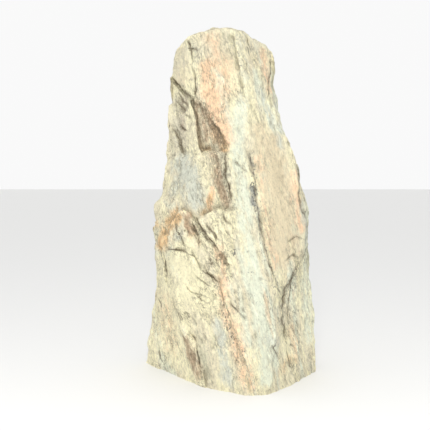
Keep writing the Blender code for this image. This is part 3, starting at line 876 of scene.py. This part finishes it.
facing_out = normals(splintered)
for name, passes, full in (("crevice", CREVICE_PASSES, FULL_CREVICE), ("hollow", HOLLOW_PASSES, FULL_HOLLOW)):
    below = below_neighbours(splintered, facing_out, passes)
    store(stone_mesh, name, for_all_rings(np.clip(below / full, -1.0, 1.0)))
    print(name, "depths, mm:", np.percentile(below, [1, 10, 50, 90, 99]).round(2))

# %% [markdown]
# ## Stains
# Marble is coloured by what was in the mud that it formed from, and by iron that seeped along its cracks
# later. The colours lie in streaks and patches that have a place on the block, so they are strokes again.
# Their edges are broken up later, in the material, by noise that follows the layers. The warm stains come
# first: iron gives them, from cream through peach and ochre to brown.

# %% Warm stains
# For each stain and side: (half width in mm, strength, line).
WARM_STAINS = {
    "sand": {
        "front": [
            (40, 1.0, [(88, 530), (108, 440), (114, 360), (114, 300)]),
            (24, 0.7, [(66, 570), (90, 520)]),
            (18, 0.8, [(118, 280), (118, 236)]),
            (36, 0.8, [(-44, 775), (-14, 715)]),
            (26, 0.6, [(-114, 755), (-104, 690)]),
            (22, 0.6, [(38, 775), (46, 700)]),
            (20, 0.5, [(66, 760), (76, 700)]),
        ],
        "back": [(40, 0.7, [(-10, 440), (0, 330)])],
    },
    "cream": {
        "front": [
            (8, 0.5, [(146, 512), (148, 484)]),
            (44, 0.95, [(-116, 270), (-90, 236), (-60, 200)]),
            (44, 1.2, [(-160, 200), (-134, 60)]),
            (24, 0.8, [(42, 84), (54, 30)]),
            (24, 0.5, [(140, 110), (150, 60)]),
            (17, 0.8, [(112, 256), (112, 196)]),
            (24, 0.4, [(-10, 330), (0, 280)]),
            (15, 0.6, [(160, 236), (160, 170)]),
        ],
        "back": [(34, 0.6, [(80, 200), (60, 60)])],
        "right": [(30, 0.5, [(60, 100), (60, 40)])],
    },
    "peach": {
        "front": [
            (22, 1.0, [(-50, 706), (-46, 668), (-42, 632), (-28, 591), (-10, 552)]),
            (18, 0.5, [(-40, 775), (-28, 735)]),
            (40, 0.5, [(-30, 712), (-14, 664)]),
            (18, 0.6, [(-18, 240), (-6, 171), (12, 120), (26, 70), (38, 18)]),
            (12, 0.6, [(-24, 312), (-12, 245)]),
            (9, 0.9, [(-40, 440), (-44, 398)]),
            (7, 0.3, [(-60, 600), (-50, 560), (-44, 540)]),
            (9, 0.4, [(-78, 350), (-70, 318)]),
            (14, 0.7, [(148, 472), (153, 413), (162, 350)]),
            (13, 0.4, [(60, 505), (68, 455), (76, 400), (85, 330), (99, 270)]),
            (11, 0.6, [(78, 756), (86, 700), (92, 660)]),
            (14, 0.4, [(140, 120), (150, 60)]),
            (36, 0.35, [(-150, 180), (-140, 70)]),
        ],
        "back": [
            (22, 0.8, [(20, 690), (34, 560), (60, 420)]),
            (15, 0.7, [(-20, 240), (-4, 120), (-16, 10)]),
        ],
        "right": [(15, 0.7, [(60, 520), (72, 330), (60, 140)])],
        "left": [(16, 0.7, [(-90, 520), (-100, 430)])],
    },
    "ochre": {
        "front": [
            (18, 0.85, [(-152, 326), (-141, 348), (-130, 366), (-118, 380)]),
            (16, 1.0, [(-162, 304), (-152, 324)]),
            (8, 0.6, [(-97, 376), (-90, 352), (-84, 332)]),
            (7, 0.6, [(-40, 430), (-48, 398), (-62, 382)]),
            (10, 0.8, [(-40, 574), (-24, 548), (-10, 530)]),
            (16, 0.4, [(118, 40), (132, 56), (150, 48)]),
            (7, 0.6, [(-62, 532), (-44, 530)]),
        ],
        "back": [
            (15, 0.7, [(112, 316), (70, 286), (48, 262)]),
            (12, 0.5, [(6, 292), (-44, 244)]),
        ],
        "left": [(15, 0.6, [(-36, 352), (-84, 346), (-112, 312)])],
        "right": [(13, 0.7, [(100, 350), (62, 308), (20, 326)])],
    },
    "brown": {
        "front": [
            # The next six strokes lie in the recess, on its sill and in the slot: partly a real brown stain,
            # partly painted shade for these hollows.
            (11, 0.7, [(-74, 632), (-54, 600), (-36, 566), (-22, 540)]),
            (10, 0.6, [(-74, 612), (-68, 560), (-64, 534)]),
            (17, 0.6, [(-36, 512), (-28, 470)]),
            (14, 0.9, [(-28, 480), (-21, 440), (-12, 408)]),
            (20, 0.25, [(-50, 520), (-36, 490)]),
            (16, 0.55, [(-58, 606), (-50, 556)]),
            # Painted shade: this stroke darkens the folded facet on the left, which lies in the folds' shade.
            (26, 0.42, [(-112, 640), (-104, 556)]),
            (10, 1.0, [(-96, 378), (-87, 342)]),
            (14, 0.78, [(-98, 100), (-87, 68), (-71, 26)]),
            (6, 0.25, [(150, 268), (132, 220), (120, 180)]),
            (20, 0.35, [(146, 330), (156, 290)]),
        ],
        "back": [
            (16, 0.7, [(50, 480), (64, 420)]),
            (12, 0.6, [(-60, 280), (-56, 160)]),
        ],
        "left": [(16, 0.5, [(-70, 230), (-64, 160)])],
    },
}
print("warm stains:", ", ".join(WARM_STAINS))

# %% [markdown]
# ## Cool stains
# The cool stains come from green and grey clay, and the darkest from graphite. Specks are single dark grains,
# thickest along the slab's edge. All the stains are then laid on the mesh as masks, one attribute each.

# %% Cool stains and specks
COOL_STAINS = {
    "mint": {
        "front": [
            (24, 0.35, [(30, 780), (34, 701), (28, 640)]),
            (20, 0.8, [(22, 622), (13, 546), (21, 458), (32, 372), (47, 265), (68, 137), (78, 30)]),
            (16, 0.6, [(56, 700), (74, 640), (92, 590), (110, 570)]),
            (22, 0.65, [(186, 400), (190, 340), (182, 220), (190, 90)]),
            (16, 0.5, [(-186, 340), (-180, 280)]),
        ],
        "back": [(26, 0.8, [(-70, 720), (-60, 520), (-84, 330), (-60, 120)])],
        "right": [(22, 0.7, [(10, 700), (30, 480), (14, 250), (36, 60)])],
        "left": [(24, 0.7, [(-110, 660), (-96, 430), (-120, 220), (-104, 40)])],
    },
    "slate": {
        "front": [
            (30, 0.9, [(-108, 500), (-92, 458), (-80, 416)]),
            (60, 0.36, [(-110, 740), (50, 770)]),
            (9, 0.6, [(66, 660), (84, 614), (99, 572), (120, 535)]),
            # Painted shade: this stroke darkens the folded facet on the left, which lies in the folds' shade.
            (14, 0.6, [(-124, 352), (-116, 330)]),
            (28, 0.5, [(-116, 640), (-108, 556)]),
            (22, 0.3, [(32, 740), (28, 640), (18, 520)]),
            (16, 0.8, [(-24, 150), (-18, 110), (-12, 66), (-2, 24)]),
            (16, 0.5, [(80, 118), (102, 104)]),
            # Painted shade: this stroke darkens the bump to the right of the slab, which lies in shade.
            (12, 0.8, [(164, 402), (176, 350), (182, 318)]),
            (18, 0.6, [(104, 660), (116, 610), (120, 570)]),
        ],
        "back": [(30, 0.7, [(60, 640), (70, 560)])],
        "right": [(20, 0.6, [(80, 470), (90, 400)])],
        "left": [(26, 0.7, [(20, 500), (10, 440)])],
    },
    "graphite": {
        "front": [
            (9, 0.8, [(49, 440), (54, 410)]),
            (5, 0.5, [(44, 512), (50, 488)]),
            (5, 0.5, [(62, 400), (66, 350)]),
        ],
    },
    "specks": {
        "front": [
            (4, 1.2, [(10, 306), (12, 300)]),
            (7, 0.9, [(44, 512), (50, 492), (54, 469), (52, 440)]),
            (12, 1.0, [(50, 448), (55, 420), (58, 396)]),
            (7, 0.8, [(63, 392), (67, 354), (71, 318), (82, 281), (98, 246), (108, 214)]),
            (9, 0.5, [(16, 760), (22, 700), (32, 650)]),
            (9, 0.7, [(-20, 190), (-4, 150), (4, 130), (20, 96), (34, 52)]),
            (16, 0.45, [(-16, 490), (-10, 430)]),
            (16, 0.4, [(80, 120), (110, 150)]),
            (20, 0.3, [(60, 250), (80, 200)]),
        ],
        "back": [(9, 0.8, [(-10, 640), (0, 520), (-14, 400)])],
        "left": [(9, 0.7, [(-80, 420), (-70, 300)])],
        "right": [(9, 0.7, [(50, 420), (44, 280)])],
    },
}

for stain, strokes in {**WARM_STAINS, **COOL_STAINS}.items():
    painted = stroke_mask(strokes, brush_view)
    store(stone_mesh, stain, for_all_rings(painted))
    print(stain, "covers", covered(painted), "% of the grid")

# %% [markdown]
# ## Dark lines in the cracks
# A crack is a dark line much thinner than a cell of the mesh: partly dirt, and partly painted shade that the
# mesh is too coarse to cast. So the mesh doesn't keep the line itself but the signed distance to it, which
# runs evenly through zero and can be drawn sharply by the material at any width. Two more masks say how dark
# the nearest crack is, with dirt and painted shade, and how deep in a wide furrow a point lies.

# %% Dirt and painted shade in the cracks
NEAR_CRACK = 7.0  # mm, how far from a crack its line may still be drawn
FULL_DARK_DEPTH = 5.0  # mm; a crack this deep gets the darkest line of dirt and painted shade
LEAST_SHARE = 0.02  # where a crack is open less than this, it isn't measured
FARTHEST = 100.0  # mm, where there is no crack at all
KEPT_DISTANCE = 20.0  # mm; farther ones are kept as this


def crack_masks(view, gape):
    """Signed distance to the nearest crack, how dark its line is, and how dark the wide furrows are: dirt and
    painted shade.
    """
    distance_to = np.full(gape.shape, FARTHEST)
    dirt_and_shade = np.zeros(gape.shape)
    dark_furrows = np.zeros(gape.shape)
    for side, _, across, up, facing in view:
        for deep, _, line in on(side, CRACKS):
            distance, along, length = beside(across, up, line)
            share = facing * gape * runs_out(along, length)
            closer = (np.abs(distance) < np.abs(distance_to)) & (share > LEAST_SHARE)
            distance_to = np.where(closer, distance, distance_to)
            near = np.exp(-(distance / NEAR_CRACK) ** 4)
            dirt_and_shade = np.maximum(dirt_and_shade, min(1.0, deep / FULL_DARK_DEPTH) * share * near)
        for _, half, line in on(side, FURROWS):
            distance, along, length = beside(across, up, line)
            share = facing * gape * runs_out(along, length)
            dark_furrows = np.maximum(dark_furrows, share * np.exp(-(distance / half) ** 2))
    return distance_to, dirt_and_shade, dark_furrows


crack_distance, cracks, furrows = crack_masks(carving_view, gape)
store(stone_mesh, "crack_distance", for_all_rings(np.clip(crack_distance, -KEPT_DISTANCE, KEPT_DISTANCE)))
for name, values in {"cracks": cracks, "furrows": furrows, **broken}.items():
    store(stone_mesh, name, for_all_rings(values))
for name, lean in (("layers", LAYER_LEAN), ("folds", FOLD_LEAN)):
    place = stone_mesh.attributes.new(name, "FLOAT_VECTOR", "POINT")
    place.data.foreach_set("vector", in_layers(rings, lean).astype(np.float32).ravel())
print("points near a crack:", int((cracks > 0.5).sum()), "in a furrow:", int((furrows > 0.5).sum()))

# %% [markdown]
# ## Writing shaders as sums
# A material is a network of nodes, and a network of sums is hard to read. So a socket is wrapped in a small
# class whose operators add Math nodes: `0.5 + mask * grain` then builds three nodes. Everything that isn't
# arithmetic goes through one method, which takes the node's type, its settings and its inputs.

# %% Sockets with arithmetic
class Wire:
    """One output of a node. Adding, multiplying and so on adds Math nodes to its tree."""

    def __init__(self, tree, socket=None):
        self.tree = tree
        self.socket = socket

    def node(self, kind, settings=None, inputs=None, output=0):
        """Add a node: settings first, then the values or wires of its inputs; returns one output."""
        node = self.tree.nodes.new(kind)
        for name, value in (settings or {}).items():
            if name == "stops":
                set_stops(node.color_ramp, value)
            else:
                setattr(node, name, value)
        for name, value in (inputs or {}).items():
            if isinstance(value, Wire):
                self.tree.links.new(value.socket, node.inputs[name])
            else:
                node.inputs[name].default_value = value
        return Wire(self.tree, node.outputs[output])

    def math(self, operation, *values, clamp=False):
        """A Math node on this wire and the values."""
        settings = {"operation": operation, "use_clamp": clamp}
        return self.node("ShaderNodeMath", settings, dict(enumerate((self,) + values)))

    def __add__(self, other):
        return self.math("ADD", other)

    __radd__ = __add__

    def __sub__(self, other):
        return self.math("SUBTRACT", other)

    def __rsub__(self, other):
        return (self * -1.0).math("ADD", other)

    def __mul__(self, other):
        return self.math("MULTIPLY", other)

    __rmul__ = __mul__

    def held(self):
        """The value held between 0 and 1."""
        return self.math("ADD", 0.0, clamp=True)

    def between(self, low, high):
        """0 below low, 1 above high, and a smooth S between."""
        inputs = {"Value": self, "From Min": low, "From Max": high}
        return self.node("ShaderNodeMapRange", {"interpolation_type": "SMOOTHSTEP"}, inputs)

    def mix(self, first, second):
        """A colour: the first where this wire is 0, the second where it is 1."""
        inputs = {0: self, 6: first, 7: second}  # the factor, and the two colours' own sockets
        return self.node("ShaderNodeMix", {"data_type": "RGBA"}, inputs, output=2)


def set_stops(ramp, stops):
    """Give a colour ramp its stops, [(position, colour), ...]."""
    while len(ramp.elements) < len(stops):
        ramp.elements.new(0.5)
    for element, (position, colour) in zip(ramp.elements, stops):
        element.position = position
        element.color = colour


def rgb(red, green, blue):
    """A colour given in 0 to 255 as on a screen, made linear: ((c + 0.055) / 1.055) to the power 2.4."""
    return tuple(((c / 255 + 0.055) / 1.055) ** 2.4 for c in (red, green, blue)) + (1.0,)


print("a middle grey in linear light:", np.round(rgb(128, 128, 128), 3))

# %% [markdown]
# ## The marble
# The material starts with bands that follow the layers all round the block, and lays the stains over them.
# Every noise in it is measured in layer coordinates, so its streaks run along the layers, except for the few
# that follow the folds. A stain's edge is broken up by such a noise, as real stains creep along the grain.

# %% The colours of the marble
BEIGE = rgb(226, 217, 188)
WARM = rgb(232, 214, 182)
GREY_GREEN = rgb(206, 204, 176)
# Dust and painted shade in the crevices and hollows.
CREVICE_DUST_AND_SHADE = rgb(150, 136, 108)
# Dark lines in the cracks and furrows, partly dirt and partly painted shade; also the colour of the pits and
# creases.
GRIME_AND_SHADE = rgb(112, 100, 78)
BLACK_SPECK = rgb(92, 92, 88)
CREAM = rgb(240, 233, 196)
MINT = rgb(230, 234, 211)
STAINS = {"sand": rgb(226, 211, 178), "cream": CREAM, "mint": MINT, "slate": rgb(208, 210, 194),
          "peach": rgb(246, 210, 172), "ochre": rgb(234, 196, 144), "brown": rgb(180, 156, 128),
          "graphite": rgb(150, 152, 146)}
BANDS = [(0.0, GREY_GREEN), (0.25, BEIGE), (0.5, CREAM), (0.65, BEIGE), (0.85, MINT), (1.0, WARM)]
# (cell in mm across the layers, into the block and along them; detail, roughness, contrast)
NOISES = {
    "bands": ((55.0, 160.0, 380.0), 5.0, 0.6, 2.6),
    "ragged": ((8.0, 12.0, 28.0), 8.0, 0.75, 3.2),
    "fibre": ((2.8, 5.0, 12.0), 4.0, 0.75, 4.4),
    "fold fibre": ((3.2, 5.0, 12.0), 4.0, 0.75, 4.4),
    "mottle": ((14.0, 14.0, 22.0), 8.0, 0.8, 2.6),
    "grain": ((4.0, 4.0, 5.0), 5.0, 0.8, 4.4),
    "layer creases": ((11.0, 20.0, 60.0), 4.0, 0.6, 1.0),
    "fold creases": ((14.0, 20.0, 44.0), 4.0, 0.6, 1.0),
    "open places": ((36.0, 36.0, 60.0), 3.0, 0.6, 3.0),
    "crumbs": ((4.0, 4.0, 9.0), 5.0, 0.8, 4.0),
    "wobble": ((5.0, 5.0, 9.0), 4.0, 0.7, 2.6),
    "pits": ((3.2, 4.0, 6.5), 4.0, 0.75, 3.2),
    "specks": ((5.0, 5.0, 6.5), 3.0, 0.7, 3.2),
}
print(len(STAINS), "stains over", len(BANDS), "bands, and", len(NOISES), "noises")

# %% Bands and stains
STAIN_COVER = 0.92  # no stain hides the bands altogether
STAIN_EDGE = (0.1, 0.9)
marble = bpy.data.materials.new("marble")
marble.use_nodes = True
shader = marble.node_tree.nodes["Principled BSDF"]
wire = Wire(marble.node_tree)
layers = wire.node("ShaderNodeAttribute", {"attribute_name": "layers"}, output="Vector")
folds = wire.node("ShaderNodeAttribute", {"attribute_name": "folds"}, output="Vector")


def mask(name):
    """One of the masks that the mesh keeps."""
    return wire.node("ShaderNodeAttribute", {"attribute_name": name}, output="Fac")


def streaks(name, where=layers):
    """One row of the noise table: noise about one half, with its cells stretched along the layers."""
    cell, detail, roughness, contrast = NOISES[name]
    inputs = {0: where, 1: tuple(1.0 / side for side in cell)}
    place = wire.node("ShaderNodeVectorMath", {"operation": "MULTIPLY"}, inputs)
    inputs = {"Vector": place, "Scale": 1.0, "Detail": detail, "Roughness": roughness}
    return 0.5 + contrast * (wire.node("ShaderNodeTexNoise", {}, inputs) - 0.5)


colour = wire.node("ShaderNodeValToRGB", {"stops": BANDS}, {"Fac": streaks("bands")}, output="Color")
ragged = streaks("ragged")
for name, stain in STAINS.items():
    amount = (mask(name) * (0.35 + 1.3 * ragged)).between(*STAIN_EDGE)
    colour = (STAIN_COVER * amount).mix(colour, stain)
print("bands and stains:", len(marble.node_tree.nodes), "nodes")

# %% [markdown]
# ## Fibre and grain
# Real marble has no flat tone anywhere. Fibre is the fine streaking of the layers, or of the folds where they
# stand on edge. Mottle is broad and soft, grain is fine and even. All three only make the colour lighter or
# darker. On the smooth faces and in the mint band they are calmer, and in crumbled places they are rougher.

# %% Fibre and grain
FIBRE = 0.30  # each is the share of the tone that it moves
MOTTLE = 0.10
GRAIN = 0.26
MEAN = 0.31  # taken off again, so that the mean tone stays nearly the same
CRUMBLED = 0.5
# Painted shade in the crevices and hollows, and a painted highlight on the edges, where these masks fall
# below zero.
CREVICE_SHADE_AND_HIGHLIGHT = 0.19
HOLLOW_SHADE_AND_HIGHLIGHT = 0.03
BRIGHTNESS = 1.046

fibre = streaks("fibre")
fibre = fibre + mask("folded") * (streaks("fold fibre", folds) - fibre)
mottle = streaks("mottle")
grain = streaks("grain")
calm = 1.0 - 0.6 * mask("smooth") - 0.25 * mask("mint")
texture = (FIBRE * fibre + MOTTLE * mottle + GRAIN * grain - MEAN) * calm
texture = texture + CRUMBLED * (fibre - 0.5) * mask("crumbled")
# Painted shade and painted highlight: darker in the hollows, lighter on the edges.
shade_and_highlight = CREVICE_SHADE_AND_HIGHLIGHT * mask("crevice") + HOLLOW_SHADE_AND_HIGHLIGHT * mask("hollow")
tone = BRIGHTNESS * (1.0 + texture - shade_and_highlight)
colour = wire.node("ShaderNodeVectorMath", {"operation": "SCALE"}, {0: colour, "Scale": tone})
print("with fibre and grain:", len(marble.node_tree.nodes), "nodes")

# %% [markdown]
# ## Dust and shade, creases and grime
# Dust settles in the hollows, and painted shade darkens them with it. Creases are hair-thin dark lines
# between the layers: plain noise passes through one half along such lines, so a narrow band about one half
# draws them, and they show only in some places. Grime is the dark line in the cracks and furrows, partly dirt
# and partly painted shade. Its edge wobbles, because a crack's edge is chipped.

# %% Dust, creases and grime, with painted shade
DUST_AND_SHADE_IN_CREVICES = 0.25
DUST_AND_SHADE_IN_HOLLOWS = 0.12
CREASE_WIDTH = 0.026  # of the noise's range
CRACK_LINE = 1.9  # mm, half the width of the dark line in a crack
LINE_EDGE = 1.4  # mm, over which that line fades out
WOBBLE = 2.4  # mm
FURROW_GRIME_AND_SHADE = 0.33
GRIME_AND_SHADE_COVER, PIT_COVER, CREASE_COVER, SPECK_COVER = 0.85, 0.55, 0.72, 0.85


def creases(name, where):
    """Thin lines where the noise passes through one half."""
    away = (streaks(name, where) - 0.5).math("ABSOLUTE")
    return (1.0 - away * (1.0 / CREASE_WIDTH)).held()


# Partly dust and partly painted shade, darker the deeper a point lies in a crevice or hollow.
dust_and_shade = DUST_AND_SHADE_IN_CREVICES * mask("crevice").between(0.1, 1.0)
dust_and_shade = dust_and_shade + DUST_AND_SHADE_IN_HOLLOWS * mask("hollow").between(0.2, 1.0)
colour = (dust_and_shade * (0.3 + ragged)).held().mix(colour, CREVICE_DUST_AND_SHADE)

crease = creases("fold creases", folds) * (0.5 + mask("folded")) + creases("layer creases", layers) * 0.8
crease = (crease * streaks("open places").between(0.3, 0.6) * calm).held()

crumbs = streaks("crumbs")
wobbled = mask("crack_distance") + WOBBLE * (streaks("wobble") - 0.5)
crack_line = (CRACK_LINE - wobbled.math("ABSOLUTE")).between(0.0, LINE_EDGE) * mask("cracks")
# The grime is partly dirt and partly painted shade in the cracks and furrows.
grime_and_shade = (crack_line * (0.6 + 0.7 * crumbs) + FURROW_GRIME_AND_SHADE * mask("furrows") * (crumbs - 0.3)).held()
pits = (streaks("pits") + 0.2 * mask("cracks") + 0.4 * mask("crumbled")).between(0.80, 1.15)
colour = (GRIME_AND_SHADE_COVER * grime_and_shade + PIT_COVER * pits + CREASE_COVER * crease).held().mix(colour, GRIME_AND_SHADE)

specks = (streaks("specks") + 0.6 * mask("specks")).between(1.1, 1.25)
colour = (SPECK_COVER * specks).mix(colour, BLACK_SPECK)
marble.node_tree.links.new(colour.socket, shader.inputs["Base Color"])
print("with dust, creases and grime:", len(marble.node_tree.nodes), "nodes")

# %% [markdown]
# ## Roughness and bump
# The same noises feed the roughness and a shallow bump, so light and colour agree about where the splinters
# are. The bump only gives the grains that are finer than the mesh; every step and crack is in the mesh.

# %% Roughness and bump
BUMP = 0.0021  # m, the height of the grains; the dark lines of dirt and painted shade lie lower than the rest
ROUGHNESS = 0.6
MOTTLE_ROUGHNESS = 0.15  # added where the mottle is palest

roughness = ROUGHNESS + MOTTLE_ROUGHNESS * mottle
marble.node_tree.links.new(roughness.socket, shader.inputs["Roughness"])
height = 0.4 * fibre + 0.6 * mottle + 0.5 * grain - 0.6 * grime_and_shade - 0.3 * pits - 0.5 * crease
bump = wire.node("ShaderNodeBump", {}, {"Strength": 1.0, "Distance": BUMP, "Height": height})
marble.node_tree.links.new(bump.socket, shader.inputs["Normal"])
stone_mesh.materials.append(marble)
print("marble:", len(marble.node_tree.nodes), "nodes")

# %% [markdown]
# ## Floor and light
# The stone stands on a plain pale floor under soft studio light: a bright sky all round, and one lamp in
# front of it, a little to the left and higher than the crown. The lamp shines down on the front, so every
# step and crack casts a short shadow below it.

# %% Floor
FLOOR_REACH = 30.0  # m from the middle to each edge, far larger than the stone
FLOOR_COLOUR = (0.82, 0.82, 0.81, 1.0)
FLOOR_ROUGHNESS = 0.7


def floor():
    """A pale level floor."""
    corners = FLOOR_REACH * np.array([(-1, -1, 0), (1, -1, 0), (1, 1, 0), (-1, 1, 0)])
    mesh = triangle_mesh("floor", corners, np.array([(0, 1, 2), (0, 2, 3)]))
    material = bpy.data.materials.new("floor")
    material.use_nodes = True
    inputs = material.node_tree.nodes["Principled BSDF"].inputs
    inputs["Base Color"].default_value = FLOOR_COLOUR
    inputs["Roughness"].default_value = FLOOR_ROUGHNESS
    mesh.materials.append(material)
    plane = bpy.data.objects.new("floor", mesh)
    bpy.context.scene.collection.objects.link(plane)


floor()
print("floor:", 2 * FLOOR_REACH, "m wide")

# %% Sky and lamp
SKY_STRENGTH = 0.95
LAMP_PLACE = Vector((-0.1, -2.0, 1.25))  # m
LAMP_TARGET = Vector((0.0, 0.0, 0.35))  # m
LAMP_POWER = 28.0  # W
LAMP_SIDE = 0.5  # m


def lamp():
    """A square area lamp that faces its target."""
    light = bpy.data.lights.new("key", "AREA")
    light.energy = LAMP_POWER
    light.size = LAMP_SIDE
    lamp_object = bpy.data.objects.new("key", light)
    lamp_object.location = LAMP_PLACE
    lamp_object.rotation_euler = (LAMP_TARGET - LAMP_PLACE).to_track_quat("-Z", "Y").to_euler()
    bpy.context.scene.collection.objects.link(lamp_object)


def sky():
    """A plain white sky."""
    world = bpy.data.worlds.new("sky")
    world.use_nodes = True
    background = world.node_tree.nodes["Background"]
    background.inputs["Color"].default_value = (1.0, 1.0, 1.0, 1.0)
    background.inputs["Strength"].default_value = SKY_STRENGTH
    bpy.context.scene.world = world


sky()
lamp()
bpy.context.scene.view_settings.view_transform = "Standard"
print("a sky and a lamp of", LAMP_POWER, "W,", round((LAMP_TARGET - LAMP_PLACE).length, 2), "m away")

# %% [markdown]
# ## Camera
# The camera stands a metre and a half in front, a little above the middle of the stone, and looks slightly
# down. Its lens follows from the side of the picture and the focal length, both in pixels.

# %% Camera
PICTURE_SIDE = 430.0  # pixels
FOCAL_PIXELS = 640.0
SENSOR = 36.0  # mm
CAMERA_PLACE = Vector((-0.033, -1.496, 0.4584))  # m, counted from where the ridges are
CAMERA_TILT = 3.13  # degrees below level
camera_data = bpy.data.cameras.new("camera")
camera_data.sensor_width = SENSOR
camera_data.lens = FOCAL_PIXELS / PICTURE_SIDE * SENSOR
camera = bpy.data.objects.new("camera", camera_data)
camera.location = CAMERA_PLACE - Vector(MIDDLE * MM)
camera.rotation_euler = (math.radians(90.0 - CAMERA_TILT), 0.0, 0.0)
bpy.context.scene.collection.objects.link(camera)
bpy.context.scene.camera = camera
print("lens", round(camera_data.lens, 1), "mm")
